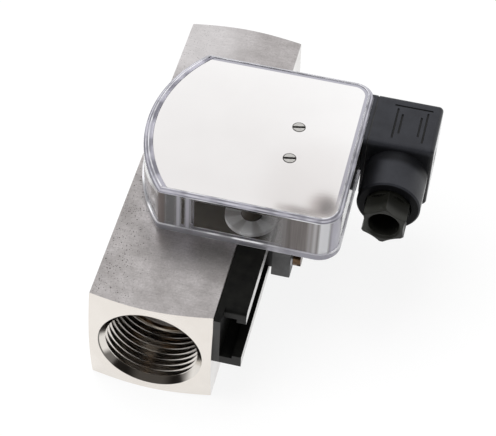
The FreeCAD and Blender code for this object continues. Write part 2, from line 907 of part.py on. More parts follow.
def bridge_plate():
    x = (spindle_x - bridge_left, spindle_x + bridge_right)
    y = (mid - bridge_half_length, mid + bridge_half_length)
    shape = rounded_bar(x, y, (bridge_bottom_z, bridge_top), bridge_corner, along_z)
    shape = shape.cut(rod_z(bush_radius + press_gap, deck, cover_top, spindle_x, mid))
    for px, py, radius in pillar_places():
        shape = shape.cut(rod_z(pillar_stud_radius + press_gap, deck, cover_top, px, py))
    for py in plate_screw_places():
        shape = shape.cut(rod_z(post_foot_radius + press_gap, deck, cover_top, plate_screw_x, py))
    return shape


def screw_post(y):
    """A threaded post on the bridge that the plate screws pull the cover down on."""
    shape = rod_z(post_radius, bridge_top, ceiling_z, plate_screw_x, y)
    shape = shape.fuse(rod_z(post_foot_radius, bridge_bottom_z, bridge_top, plate_screw_x, y))
    screw_tip = plate_top + plate_screw_proud - plate_screw_head_length - plate_screw_length
    return shape.cut(rod_z(plate_screw_radius + press_gap, screw_tip - free_gap, cover_top, plate_screw_x, y))


def spindle_bush(low, high):
    """A flanged bush, its neck in the plate and its flange on top."""
    neck = rod_z(bush_radius, low, high, spindle_x, mid)
    shape = neck.fuse(rod_z(bush_flange_radius, high, high + bush_flange, spindle_x, mid))
    top = high + bush_flange + past
    return shape.cut(rod_z(spindle_radius + running_gap, low - past, top, spindle_x, mid))


# Turning parts on the spindle
def spindle():
    return rod_z(spindle_radius, spindle_bottom, pointer_top + pointer_cap_height / 2, spindle_x, mid)


def involute_point(base_radius, radius, start_angle, hand):
    """A point of an involute flank that leaves its base circle at start_angle."""
    spread = math.sqrt(max(radius ** 2 / base_radius ** 2 - 1, 0))
    angle = start_angle + hand * (spread - math.atan(spread))
    return (radius * math.cos(angle), radius * math.sin(angle))


def gear_outline():
    base_radius = pitch_radius * math.cos(math.radians(pressure_angle))
    tip_radius = pitch_radius + gear_module
    root_radius = pitch_radius - 1.25 * gear_module
    roll = math.tan(math.radians(pressure_angle)) - math.radians(pressure_angle)
    half_tooth = math.pi / 2 / gear_teeth - tooth_backlash / pitch_radius
    flank_start = half_tooth + roll
    flank_steps = 4
    radii = [base_radius + (tip_radius - base_radius) * step / flank_steps for step in range(flank_steps + 1)]
    outline = []
    for tooth in range(gear_teeth):
        middle = 2 * math.pi * tooth / gear_teeth
        low = middle - flank_start
        high = middle + flank_start
        outline.append((root_radius * math.cos(low), root_radius * math.sin(low)))
        outline += [involute_point(base_radius, radius, low, 1) for radius in radii]
        outline += [involute_point(base_radius, radius, high, -1) for radius in radii[::-1]]
        outline.append((root_radius * math.cos(high), root_radius * math.sin(high)))
    return [(spindle_x + x, mid + y) for x, y in outline]


def spindle_gear():
    shape = prism(gear_outline(), gear_bottom_z, gear_bottom_z + gear_thickness)
    return shape.cut(rod_z(spindle_radius + press_gap, deck, cover_top, spindle_x, mid))


def cam_disc():
    """A disc whose rim rises evenly, so that the plunger follows the pointer."""
    end_turn = turn_angle + math.radians(cam_extra_turn)
    rise_end = cam_rise * end_turn / turn_angle
    steps = 10
    low = point(spindle_x, mid, cam_bottom_z)

    def rim(turn, radius):
        angle = math.pi / 2 + turn
        return low.add(point(radius * math.cos(angle), radius * math.sin(angle), 0))

    rise = Part.BSplineCurve()
    turns = [end_turn * step / steps for step in range(steps + 1)]
    rise.interpolate([rim(turn, cam_radius + rise_end * turn / end_turn) for turn in turns])
    opposite = (end_turn - 2 * math.pi) / 2
    edges = [
        rise.toShape(),
        Part.LineSegment(rim(end_turn, cam_radius + rise_end), rim(end_turn, cam_radius)).toShape(),
        Part.Arc(rim(end_turn, cam_radius), rim(opposite, cam_radius), rim(0, cam_radius)).toShape(),
    ]
    shape = Part.Face(Part.Wire(edges)).extrude(point(0, 0, cam_thickness))
    return shape.cut(rod_z(spindle_radius + press_gap, deck, cover_top, spindle_x, mid))


def pointer():
    """A thin tapered needle with a round counterweight, on a turned hub."""
    low = pointer_bottom + free_gap
    root = (0, pointer_root_half_width)
    tip = (pointer_length, pointer_tip_half_width)
    corners = [(root[0], -root[1]), (tip[0], -tip[1]), (tip[0], tip[1]), (root[0], root[1])]
    blade = prism(corners, low, low + pointer_thickness)
    half_tail = pointer_root_half_width / 2
    tail = block((-pointer_tail, 0), (-half_tail, half_tail), (low, low + pointer_thickness))
    weight = rod_z(pointer_tail_radius, low, low + pointer_thickness, -pointer_tail, 0)
    hub = rod_z(pointer_hub_radius, pointer_bottom, pointer_top, 0, 0)
    shape = blade.fuse([tail, weight, hub])
    shape = shape.cut(rod_z(spindle_radius + press_gap, deck, cover_top, 0, 0)).removeSplitter()
    shape.rotate(point(0, 0, 0), along_z, pointer_rest_angle)
    shape.translate(point(spindle_x, mid, 0))
    return shape


def pointer_cap():
    low = pointer_top
    shape = rod_z(pointer_cap_radius, low, low + pointer_cap_height, spindle_x, mid)
    hollow = rod_z(spindle_radius + press_gap, low - past, low + pointer_cap_height / 2, spindle_x, mid)
    return shape.cut(hollow)


# Microswitch and its plunger
def switch_box():
    low_y = mid + switch_offset_y
    x = (spindle_x - switch_left, spindle_x - switch_left + switch_length)
    return x, (low_y, low_y + switch_depth), (floor_top, floor_top + switch_height)


def plunger_z():
    return cam_bottom_z + cam_thickness / 2


def micro_switch():
    x, y, z = switch_box()
    shape = rounded_bar(x, y, z, switch_edge_radius, along_z)
    hole_depth = plunger_hidden_length + cam_rise + free_gap
    hole = rod_y(plunger_radius + running_gap, y[0] - past, y[0] + hole_depth, spindle_x, plunger_z())
    shape = shape.cut(hole)
    for place in terminal_places():
        shape = shape.cut(terminal_box(place, press_gap))
    return shape


def terminal_places():
    x = switch_box()[0]
    first = (x[0] + x[1]) / 2 - terminal_spacing
    return [first + step * terminal_spacing for step in range(3)]


def terminal_box(x, gap):
    back_y = switch_box()[1][1]
    half = terminal_width / 2 + gap
    half_thick = terminal_thickness / 2 + gap
    y = (back_y - terminal_hidden_length - gap, back_y + terminal_length)
    z = floor_top + switch_height / 2
    return block((x - half, x + half), y, (z - half_thick, z + half_thick))


def switch_plunger():
    """A round-nosed pin that rides on the cam's rim."""
    nose_y = mid + cam_radius + free_gap + plunger_radius
    end_y = switch_box()[1][0] + plunger_hidden_length
    shape = rod_y(plunger_radius, nose_y, end_y, spindle_x, plunger_z())
    return shape.fuse(Part.makeSphere(plunger_radius, point(spindle_x, nose_y, plunger_z()))).removeSplitter()


# Set point dial on the floor
def set_point_dial():
    """A white disc with a slotted hub, turned by a screwdriver."""
    top = dial_bottom_z + dial_thickness
    shape = rod_z(dial_radius, dial_bottom_z, top, dial_x, dial_y)
    shape = shape.fuse(rod_z(dial_hub_radius, top, top + dial_hub_height, dial_x, dial_y))
    stem_low = deck + dial_socket_floor + free_gap
    shape = shape.fuse(rod_z(dial_stem_radius, stem_low, dial_bottom_z, dial_x, dial_y))
    half_slot = slot_width / 2
    hub_top = top + dial_hub_height
    slot_x = (dial_x - slot_reach, dial_x + slot_reach)
    slot_z = (hub_top - slot_depth, hub_top + past)
    return shape.cut(block(slot_x, (dial_y - half_slot, dial_y + half_slot), slot_z))


# Plug socket
def plug_bar(low, high, inset=0.0, corner=plug_corner):
    """A bar along X with the plug's rounded outline, drawn in by an inset."""
    y = (plug_y - plug_width / 2 + inset, plug_y + plug_width / 2 - inset)
    z = (plug_centre_z - plug_height / 2 + inset, plug_centre_z + plug_height / 2 - inset)
    return rounded_bar((low, high), y, z, corner, along_x)


def pin_places():
    """Blade centres: two contacts side by side and the earth blade above."""
    contacts = [(plug_y - pin_spacing / 2, plug_centre_z), (plug_y + pin_spacing / 2, plug_centre_z)]
    return contacts + [(plug_y, plug_centre_z + earth_pin_rise)]


def pin_box(place, gap, low, high):
    half_thick = pin_thickness / 2 + gap
    half = pin_width / 2 + gap
    y = (place[0] - half_thick, place[0] + half_thick)
    return block((low, high), y, (place[1] - half, place[1] + half))


def contact_pin(place):
    return pin_box(place, 0, neck_inner_x - pin_tail, plug_x + pin_reach)


def socket_base():
    """The flange, hollowed to hug the housing's wall and corner, and the neck through the wall."""
    shape = plug_bar(flange_x - saddle_depth, gasket_x)
    skirt_top = deck + cover_skirt_height + press_gap
    shape = shape.cut(house_prism(-press_gap, plug_centre_z - plug_height, skirt_top))
    shape = shape.cut(house_prism(cover_skirt_step - press_gap, skirt_top, plug_centre_z + plug_height))
    shape = shape.fuse(neck_box(0))
    wall_face = house_right_x - wall_inner
    for side in (-1, 1):
        edge = plug_y + side * neck_half_width
        y = (min(edge, edge + side * neck_lug), max(edge, edge + side * neck_lug))
        lug_x = (wall_face - press_gap - neck_lug_length, wall_face - press_gap)
        shape = shape.fuse(block(lug_x, y, (plug_centre_z, neck_top_z - neck_lug_drop)))
    for place in pin_places():
        shape = shape.cut(pin_box(place, press_gap, neck_inner_x - past, gasket_x + past))
    hole_radius = plug_screw_radius + hole_gap
    hole = rod_x(hole_radius, neck_inner_x - past, gasket_x + past, plug_y, plug_centre_z)
    return shape.cut(hole).removeSplitter()


# Plug and its gland
def plug_cavity():
    return plug_bar(plug_x - past, plug_outer_x - plug_front_face, plug_wall, plug_inner_corner)


def top_grooves():
    """The moulded lines on the plug's top face, two each side and one across behind them."""
    top = plug_centre_z + plug_height / 2
    middle = gland_x + groove_shift
    z = (top - groove_depth, top + past)
    half = groove_width / 2
    grooves = []
    for side in (-1, 1):
        for reach, low, high in groove_lines:
            x = middle + side * reach
            grooves.append(block((x - half, x + half), (plug_y + low, plug_y + high), z))
    cross_y = plug_y + groove_cross_back
    across = (middle - groove_cross_half, middle + groove_cross_half)
    grooves.append(block(across, (cross_y - half, cross_y + half), z))
    return grooves


def plug_housing():
    """A hollow box with a round gland collar on its front."""
    shape = plug_bar(plug_x, plug_outer_x)
    outer_rim = [edge for edge in shape.Edges if edge.BoundBox.XMin > plug_outer_x - press_gap]
    shape = shape.makeFillet(plug_end_rounding, outer_rim)
    collar = rod_y(collar_radius, collar_front, plug_front + plug_wall / 2, gland_x, plug_centre_z)
    rim = [edge for edge in collar.Edges if edge.BoundBox.YMax < collar_front + press_gap]
    shape = shape.fuse(collar.makeChamfer(collar_chamfer, rim))
    shape = shape.cut(plug_cavity())
    seat = collar_front + collar_bore_depth
    shape = shape.cut(rod_y(collar_bore_radius, collar_front - past, seat, gland_x, plug_centre_z))
    shape = shape.cut(rod_y(cable_radius + cable_room, seat - past, plug_y, gland_x, plug_centre_z))
    head_low = plug_outer_x - plug_screw_recess
    head_hole = plug_screw_head_radius + hole_gap
    shape = shape.cut(rod_x(head_hole, head_low, plug_outer_x + past, plug_y, plug_centre_z))
    hole = rod_x(plug_screw_radius + running_gap, plug_x, plug_outer_x, plug_y, plug_centre_z)
    shape = shape.cut(hole)
    for groove in top_grooves():
        shape = shape.cut(groove)
    return shape


def plug_insert():
    """The terminal block inside the plug, with a slot for each blade."""
    low = plug_x + insert_gap
    high = low + insert_length
    shape = plug_bar(low, high, plug_wall + press_gap, plug_inner_corner)
    for place in pin_places():
        shape = shape.cut(pin_box(place, free_gap, low - past, plug_x + pin_reach + free_gap))
    screw_space = rod_x(plug_screw_radius + hole_gap, low - past, high + past, plug_y, plug_centre_z)
    cable_stop = plug_y - insert_cable_stop
    cable_space = rod_y(cable_radius + cable_room, plug_front, cable_stop, gland_x, plug_centre_z)
    return shape.cut(screw_space).cut(cable_space)


def plug_gasket():
    """A flat ring squeezed between socket flange and plug."""
    shape = plug_bar(gasket_x, plug_x, gasket_inset)
    return shape.cut(plug_bar(gasket_x - past, plug_x + past, plug_wall, plug_inner_corner))


def plug_screw():
    """The long centre screw, its slotted head sunk in the plug's outer face."""
    head_low = plug_outer_x - plug_screw_recess
    head_high = head_low + plug_screw_head_length
    shape = rod_x(plug_screw_head_radius, head_low, head_high, plug_y, plug_centre_z)
    half_slot = slot_width / 2
    slot_z = (plug_centre_z - half_slot, plug_centre_z + half_slot)
    slot_y = (plug_y - slot_reach, plug_y + slot_reach)
    slot = block((head_high - slot_depth / 2, head_high + past), slot_y, slot_z)
    tip = neck_inner_x + plug_screw_tip_inset
    return shape.cut(slot).fuse(rod_x(plug_screw_radius, tip, head_low, plug_y, plug_centre_z))


def nut_outline():
    """Six corners joined by hollow sides, the first corner straight up."""
    corners = []
    for side in range(6):
        angle = math.radians(90 + 60 * side)
        corners.append((nut_corner_radius * math.cos(angle), nut_corner_radius * math.sin(angle)))
    return corners


def gland_nut():
    """A nut with six hollow sides, a sleeve into the collar and a hole for the cable."""
    face_y = collar_front - nut_gap - nut_length
    corners = nut_outline()
    flat = nut_corner_radius * math.cos(math.pi / 6)
    edges = []
    for index, (x, z) in enumerate(corners):
        nx, nz = corners[(index + 1) % 6]
        middle_x = (x + nx) / 2 * (1 - nut_hollow / flat)
        middle_z = (z + nz) / 2 * (1 - nut_hollow / flat)
        start = point(gland_x + x, face_y, plug_centre_z + z)
        through = point(gland_x + middle_x, face_y, plug_centre_z + middle_z)
        end = point(gland_x + nx, face_y, plug_centre_z + nz)
        edges.append(Part.Arc(start, through, end).toShape())
    shape = Part.Face(Part.Wire(edges)).extrude(point(0, nut_length, 0))
    outer = nut_corner_radius + past
    bevelled = [(nut_corner_radius - nut_bevel, 0), (outer, nut_bevel + past), (outer, nut_length)]
    envelope = turned_y([(0, 0)] + bevelled + [(0, nut_length)])
    envelope.translate(point(gland_x, face_y, plug_centre_z))
    sleeve_high = collar_front - nut_gap + nut_sleeve_length
    sleeve_low = face_y + nut_length - nut_sleeve_lap
    sleeve = rod_y(nut_sleeve_radius, sleeve_low, sleeve_high, gland_x, plug_centre_z)
    shape = shape.common(envelope).fuse(sleeve)
    face_middle = point(gland_x, face_y, plug_centre_z)
    lead_in = Part.makeCone(cable_radius + nut_lead_in, cable_radius, nut_lead_in, face_middle, along_y)
    shape = shape.cut(rod_y(cable_radius, face_y - past, sleeve_high + past, gland_x, plug_centre_z))
    return shape.cut(lead_in).removeSplitter()


def gland_ring(inner, low, high):
    start = point(gland_x, low, plug_centre_z)
    return tube(collar_bore_radius - press_gap, inner, start, point(gland_x, high, plug_centre_z))


# Build every sub-part
front_ring_y = front + shoulder_depth - spider_thickness - snap_ring_thickness
front_spider = (front_ring_y + snap_ring_thickness, front + shoulder_depth)
rear_spider = (spider_back_face, spider_back_face + spider_thickness)
save("flow_body", flow_body())
save("front_guide_spider", guide_spider(*front_spider, *front_spider))
save("rear_guide_spider", guide_spider(*rear_spider, rear_hub_front, rear_spider[1]))
save("snap_rings", snap_ring(front_ring_y), snap_ring(rear_spider[1]))
rod_low = front_spider[0] - rod_overhang
rod_high = rear_spider[1] + rod_overhang
save("guide_rod", rod_y(rod_radius, rod_low, rod_high))
save("rod_clips", rod_clip(front_spider[0] - clip_thickness), rod_clip(rear_spider[1]))
save("orifice_ring", orifice_ring())

cap_front = magnet_front + magnet_length
save("piston_cone", piston_cone())
save("piston_magnet", piston_ring(magnet_radius, magnet_front, cap_front))
save("piston_cap", piston_ring(piston_radius, cap_front, piston_back))
save("piston_spring", piston_spring())

save("sensor_rail", sensor_rail())
save("rail_screws", *[rail_screw(y) for y in rail_screw_places()])
save("follower_carriage", follower_carriage())
save("follower_magnet", follower_magnet_box(0))
save("follower_rack", follower_rack())

save("mounting_block", mounting_block())
save("clamp_washers", *[clamp_washer(y) for y in clamp_screw_places()])
save("clamp_screws", *[clamp_screw(y, turn) for y, turn in zip(clamp_screw_places(), clamp_slot_turns)])
save("clamp_nuts", *[clamp_nut(y) for y in clamp_screw_places()])

save("housing_floor", housing_floor())
save("floor_screws", *[floor_screw(x, y) for x, y in floor_screw_places()[0] + floor_screw_places()[1]])
save("clear_cover", clear_cover())
save("front_plate", front_plate())
save("plate_screws", *[plate_screw(y, turn) for y, turn in zip(plate_screw_places(), plate_slot_turns)])

save("bridge_pillars", *[pillar(x, y, radius) for x, y, radius in pillar_places()])
save("bridge_plate", bridge_plate())
save("screw_posts", *[screw_post(y) for y in plate_screw_places()])
lower_bush = spindle_bush(deck + free_gap, floor_top)
upper_bush = spindle_bush(bridge_bottom_z, bridge_top)
save("spindle_bushes", lower_bush, upper_bush)
save("spindle", spindle())
save("spindle_gear", spindle_gear())
save("cam_disc", cam_disc())
save("pointer", pointer())
save("pointer_cap", pointer_cap())

save("micro_switch", micro_switch())
save("switch_terminals", *[terminal_box(x, 0) for x in terminal_places()])
save("switch_plunger", switch_plunger())
save("set_point_dial", set_point_dial())

save("socket_base", socket_base())
save("contact_pins", *[contact_pin(place) for place in pin_places()])
save("plug_gasket", plug_gasket())
save("plug_housing", plug_housing())
save("plug_insert", plug_insert())
save("plug_screw", plug_screw())
sleeve_end = collar_front - nut_gap + nut_sleeve_length
washer_end = sleeve_end + gland_seal_gap + gland_washer_thickness
seal_end = collar_front + collar_bore_depth - gland_seal_gap
save("gland_nut", gland_nut())
save("gland_washer", gland_ring(cable_radius + free_gap, washer_end - gland_washer_thickness, washer_end))
save("gland_seal", gland_ring(cable_radius + free_gap / 2, washer_end + gland_seal_gap, seal_end))
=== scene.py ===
import math
import bmesh
import bpy
from mathutils import Matrix, Vector


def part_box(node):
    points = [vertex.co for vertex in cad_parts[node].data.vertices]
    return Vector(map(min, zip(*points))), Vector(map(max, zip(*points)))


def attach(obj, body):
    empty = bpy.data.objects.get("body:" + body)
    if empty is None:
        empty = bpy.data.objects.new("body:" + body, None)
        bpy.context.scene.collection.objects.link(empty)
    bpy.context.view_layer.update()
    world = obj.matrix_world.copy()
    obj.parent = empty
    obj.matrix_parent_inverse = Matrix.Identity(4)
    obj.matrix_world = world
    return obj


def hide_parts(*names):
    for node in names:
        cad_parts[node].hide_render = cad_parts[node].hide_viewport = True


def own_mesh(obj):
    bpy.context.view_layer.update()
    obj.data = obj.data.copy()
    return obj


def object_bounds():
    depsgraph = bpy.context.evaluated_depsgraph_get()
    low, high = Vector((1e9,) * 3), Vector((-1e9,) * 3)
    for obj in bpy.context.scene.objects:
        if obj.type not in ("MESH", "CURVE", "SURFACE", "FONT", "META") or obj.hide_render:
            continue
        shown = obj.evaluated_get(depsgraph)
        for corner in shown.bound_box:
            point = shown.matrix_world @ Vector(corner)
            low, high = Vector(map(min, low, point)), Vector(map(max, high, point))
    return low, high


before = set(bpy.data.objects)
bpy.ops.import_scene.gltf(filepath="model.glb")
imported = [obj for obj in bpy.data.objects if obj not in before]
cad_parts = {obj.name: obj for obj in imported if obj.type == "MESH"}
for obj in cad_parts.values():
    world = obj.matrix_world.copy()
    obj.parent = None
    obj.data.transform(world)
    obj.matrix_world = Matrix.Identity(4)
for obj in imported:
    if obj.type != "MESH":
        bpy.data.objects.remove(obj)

cad_box = [list(corner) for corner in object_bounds()]
mm = 0.001

# The viewpoint: a long lens in front of the inlet end, above it and a little to the right,
# fitted to the corners of the bar and its port. The picture is 496 by 436.
camera_place = Vector((0.089407, -0.321206, 0.433341))
camera_right = Vector((0.97274, 0.22851, 0.03958))
camera_up = Vector((-0.19606, 0.71912, 0.66665))
camera_lens = 124.352
camera_sensor = 36.0
nearest_seen = 0.01


def in_scene(name, data):
    """A new object of some data, linked to the scene."""
    made = bpy.data.objects.new(name, data)
    bpy.context.scene.collection.objects.link(made)
    return made


lens = bpy.data.cameras.new("view")
lens.lens = camera_lens
lens.sensor_width = camera_sensor
lens.sensor_fit = "HORIZONTAL"
lens.clip_start = nearest_seen
lens.dof.use_dof = False
camera = in_scene("view", lens)
camera_back = camera_right.cross(camera_up).normalized()
camera_top = camera_back.cross(camera_right).normalized()
camera_turn = Matrix((camera_right.normalized(), camera_top, camera_back)).transposed()
camera.matrix_world = Matrix.Translation(camera_place) @ camera_turn.to_4x4()
bpy.context.scene.camera = camera
bpy.context.scene.view_settings.view_transform = "Standard"

# The studio: a white floor that the bar rests on, a white room, a soft lamp above and one from
# the left. Bright metal mirrors the dark side where the viewer stands and, behind the meter, a
# faint shade with a small dark thing and a thin strip of shade in it. Those are given by the
# spot on the front plate, in millimetres, that mirrors them to the viewer, and a size in degrees.
floor_size = 6.0
floor_glow = 0.86
floor_albedo = 0.16
floor_bounce = 0.8
room_light = 0.62
room_white = 1.0
viewer_side_dull = (0.072, 0.066, 0.060)
dull_parts = (
    ((10, 10), 1.00, 8.00, (0.82, 0.805, 0.80)),
    ((42, 42), 0.30, 2.40, (0.90, 0.885, 0.88)),
    ((43.2, 39.0), 0.03, 0.50, (0.80, 0.77, 0.76)),
    ((45.2, 39.2), 0.05, 0.52, (0.50, 0.46, 0.45)),
    ((46.8, 39.4), 0.06, 0.44, (0.40, 0.36, 0.35)),
    ((47.2, 37.8), 0.04, 0.36, (0.42, 0.38, 0.37)),
    ((31.4, 35.0), 0.02, 0.18, (0.80, 0.78, 0.77)),
    ((32.8, 34.9), 0.02, 0.19, (0.72, 0.70, 0.69)),
    ((34.2, 34.9), 0.02, 0.20, (0.64, 0.61, 0.60)),
    ((35.6, 34.9), 0.02, 0.21, (0.56, 0.53, 0.52)),
    ((37.0, 34.9), 0.02, 0.21, (0.52, 0.49, 0.48)),
    ((38.4, 34.9), 0.02, 0.21, (0.52, 0.49, 0.48)),
    ((39.8, 34.9), 0.02, 0.21, (0.52, 0.49, 0.48)),
    ((41.2, 34.9), 0.02, 0.21, (0.54, 0.51, 0.50)),
    ((42.6, 35.0), 0.02, 0.21, (0.58, 0.55, 0.54)),
    ((44.0, 35.2), 0.02, 0.20, (0.64, 0.61, 0.60)),
    ((45.4, 35.6), 0.02, 0.19, (0.70, 0.67, 0.66)))


def node(owner, kind, **settings):
    """Add a node to a material or the world and set its properties."""
    made = owner.node_tree.nodes.new(kind)
    for key, value in settings.items():
        setattr(made, key, value)
    return made


def join(owner, source, target):
    owner.node_tree.links.new(source, target)


def fill(owner, socket, value):
    """Give a socket a number or a colour, or join another socket to it."""
    if isinstance(value, tuple):
        socket.default_value = (*value, 1)
    elif isinstance(value, (int, float)):
        socket.default_value = value
    else:
        join(owner, value, socket)


def spread(owner, value, low, high, from_low=0.3, from_high=0.7, smooth=False):
    """Map a value between from_low and from_high to one between low and high."""
    ranged = node(owner, "ShaderNodeMapRange")
    if smooth:
        ranged.interpolation_type = "SMOOTHSTEP"
    for label, edge in (("From Min", from_low), ("From Max", from_high), ("To Min", low), ("To Max", high)):
        ranged.inputs[label].default_value = edge
    join(owner, value, ranged.inputs["Value"])
    return ranged.outputs["Result"]


def combine(owner, first, second, how="ADD"):
    """Reckon with two values, each a number or a socket."""
    made = node(owner, "ShaderNodeMath", operation=how)
    fill(owner, made.inputs[0], first)
    fill(owner, made.inputs[1], second)
    return made.outputs[0]


def times(owner, first, second):
    return combine(owner, first, second, "MULTIPLY")


def minus(owner, first, second):
    return combine(owner, first, second, "SUBTRACT")


def greater(owner, first, second):
    return combine(owner, first, second, "MAXIMUM")


def blend(owner, factor, low, high, how="MIX"):
    """Mix two colours, each a colour or a socket."""
    mixed = node(owner, "ShaderNodeMix", data_type="RGBA", blend_type=how)
    join(owner, factor, mixed.inputs[0])
    fill(owner, mixed.inputs[6], low)
    fill(owner, mixed.inputs[7], high)
    return mixed.outputs[2]


def show_or_light(owner, out, lighting, seen):
    """End in one shader for camera, glossy and transmission rays, and one for all others."""
    path = node(owner, "ShaderNodeLightPath")
    direct = greater(owner, path.outputs["Is Camera Ray"], path.outputs["Is Glossy Ray"])
    which = node(owner, "ShaderNodeMixShader")
    join(owner, greater(owner, direct, path.outputs["Is Transmission Ray"]), which.inputs[0])
    join(owner, lighting.outputs[0], which.inputs[1])
    join(owner, seen.outputs[0], which.inputs[2])
    join(owner, which.outputs[0], out.inputs["Surface"])


room = bpy.data.worlds.new("room")
bpy.context.scene.world = room
room.use_nodes = True
room.node_tree.nodes.clear()
room_out = node(room, "ShaderNodeOutputWorld")
room_lighting = node(room, "ShaderNodeBackground")
room_lighting.inputs["Strength"].default_value = room_light
room_seen = node(room, "ShaderNodeBackground")
room_seen.inputs["Strength"].default_value = room_white
toward = node(room, "ShaderNodeTexCoord")
ray = node(room, "ShaderNodeLightPath")
way = node(room, "ShaderNodeSeparateXYZ")
join(room, toward.outputs["Generated"], way.inputs[0])


def nearness(direction, inner, outer):
    """One within inner degrees of a direction, zero beyond outer."""
    closeness = node(room, "ShaderNodeVectorMath", operation="DOT_PRODUCT")
    closeness.inputs[1].default_value = direction.normalized()
    join(room, toward.outputs["Generated"], closeness.inputs[0])
    outer_cosine = math.cos(math.radians(outer))
    inner_cosine = math.cos(math.radians(inner))
    return spread(room, closeness.outputs["Value"], 0, 1, outer_cosine, inner_cosine, True)


def dulled(colour, share, dull):
    """Dull a part of the room by a colour, for mirror rays only."""
    return blend(room, times(room, share, ray.outputs["Is Glossy Ray"]), colour, dull, "MULTIPLY")


above_floor = spread(room, way.outputs["Z"], 0, 1, 0.0, 0.06, True)
below_lamps = spread(room, way.outputs["Z"], 1, 0, 0.70, 0.86, True)
to_viewer = spread(room, way.outputs["Y"], 1, 0, -0.30, 0.10, True)
viewer_side = times(room, times(room, above_floor, below_lamps), to_viewer)
room_colour = dulled((1, 1, 1), viewer_side, viewer_side_dull)
plate_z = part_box("front_plate")[1][2]
for spot, inner, outer, dull in dull_parts:
    direction = Vector((spot[0] * mm, spot[1] * mm, plate_z)) - camera_place
    direction.z = -direction.z
    room_colour = dulled(room_colour, nearness(direction, inner, outer), dull)
join(room, room_colour, room_seen.inputs["Color"])
show_or_light(room, room_out, room_lighting, room_seen)

half_floor = floor_size / 2
floor_z = cad_box[0][2]
floor_mesh = bpy.data.meshes.new("studio_floor")
floor_mesh.from_pydata([(-half_floor, -half_floor, floor_z), (half_floor, -half_floor, floor_z),
                        (half_floor, half_floor, floor_z), (-half_floor, half_floor, floor_z)],
                       [], [(0, 1, 2, 3)])
studio_floor = in_scene("studio_floor", floor_mesh)
floor_paint = bpy.data.materials.new("white_floor")
floor_paint.use_nodes = True
floor_paint.node_tree.nodes.clear()
floor_out = node(floor_paint, "ShaderNodeOutputMaterial")
pale = node(floor_paint, "ShaderNodeBsdfDiffuse")
fill(floor_paint, pale.inputs["Color"], (floor_albedo, floor_albedo, floor_albedo))
glow = node(floor_paint, "ShaderNodeEmission")
glow.inputs["Strength"].default_value = floor_glow
floor_seen = node(floor_paint, "ShaderNodeAddShader")
join(floor_paint, pale.outputs[0], floor_seen.inputs[0])
join(floor_paint, glow.outputs[0], floor_seen.inputs[1])
floor_lighting = node(floor_paint, "ShaderNodeBsdfDiffuse")
fill(floor_paint, floor_lighting.inputs["Color"], (floor_bounce, floor_bounce, floor_bounce))
show_or_light(floor_paint, floor_out, floor_lighting, floor_seen)
floor_mesh.materials.append(floor_paint)


def soft_lamp(name, place, aim, size, power):
    """A square area lamp that points at aim and isn't mirrored."""
    data = bpy.data.lights.new(name, "AREA")
    data.size = size
    data.energy = power
    lamp = in_scene(name, data)
    turn = (Vector(aim) - Vector(place)).to_track_quat("-Z", "Y")
    lamp.matrix_world = Matrix.Translation(place) @ turn.to_matrix().to_4x4()
    lamp.visible_glossy = False


object_middle = (0.017, 0.0647, 0.01)
soft_lamp("lamp_above", (-0.25, 0.15, 0.9), object_middle, 0.7, 5.5)
soft_lamp("lamp_left", (-0.8, -0.35, 0.45), object_middle, 0.6, 2.5)

# Flow body: a drawn square bar of stainless steel, its sides satin and marked by drawing, its
# two ends turned bright, with a pipe thread cut into each end. It carries everything else.
drawn_steel = (0.620, 0.590, 0.590)
drawn_steel_dark = (0.430, 0.405, 0.400)
mottled_steel = (0.30, 0.28, 0.275)
scored_steel = (0.34, 0.32, 0.315)
far_left_highlight_steel = (0.93, 0.91, 0.92)
side_sheen_steel = (0.880, 0.865, 0.850)
turned_steel = (0.820, 0.775, 0.725)
turned_steel_marked = (0.70, 0.65, 0.60)
turned_steel_cloudy = (0.90, 0.86, 0.81)
turned_steel_pit = (0.35, 0.32, 0.30)
bore_steel = (0.760, 0.725, 0.680)
pit_dark = (0.090, 0.080, 0.075)
cone_painted_shade = (0.060, 0.052, 0.046)
satin_roughness = 0.36
turned_roughness = 0.26
bore_roughness = 0.16
mouth_radius = 17.0 * mm
mouth_line_radius = 16.74 * mm
cone_radius = 15.3 * mm
cone_depth = 2.0 * mm
cone_soft = 0.1 * mm
skin_inner = 18.6 * mm
skin_outer = 19.0 * mm


def shader_of(finish):
    return finish.node_tree.nodes["Principled BSDF"]


def new_finish(name, colour, roughness, metallic=0.0, specular=0.5):
    """A material whose shader has its constants set on its own sockets."""
    finish = bpy.data.materials.new(name)
    finish.use_nodes = True
    for label, value in (("Base Color", (*colour, 1)), ("Roughness", roughness), ("Metallic", metallic),
                         ("Specular IOR Level", specular)):
        shader_of(finish).inputs[label].default_value = value
    return finish


def feed(finish, source, name):
    """Join a socket to an input of the shader."""
    join(finish, source, shader_of(finish).inputs[name])


def shifted(finish, offset, scale=(1, 1, 1)):
    """Object coordinates, scaled and shifted."""
    place = node(finish, "ShaderNodeTexCoord")
    mapping = node(finish, "ShaderNodeMapping")
    mapping.inputs["Scale"].default_value = scale
    mapping.inputs["Location"].default_value = (offset, offset, offset)
    join(finish, place.outputs["Object"], mapping.inputs["Vector"])
    return mapping.outputs["Vector"]


def grain(finish, size, stretch=(1, 1, 1), detail=4.0, rough=0.6, offset=0.0):
    """Noise on Object coordinates, size in metres, drawn out along an axis by its stretch."""
    scale = tuple(1 / (size * part) for part in stretch)
    noise = node(finish, "ShaderNodeTexNoise")
    noise.inputs["Scale"].default_value = 1.0
    noise.inputs["Detail"].default_value = detail
    noise.inputs["Roughness"].default_value = rough
    join(finish, shifted(finish, offset, scale), noise.inputs["Vector"])
    return noise.outputs["Fac"]


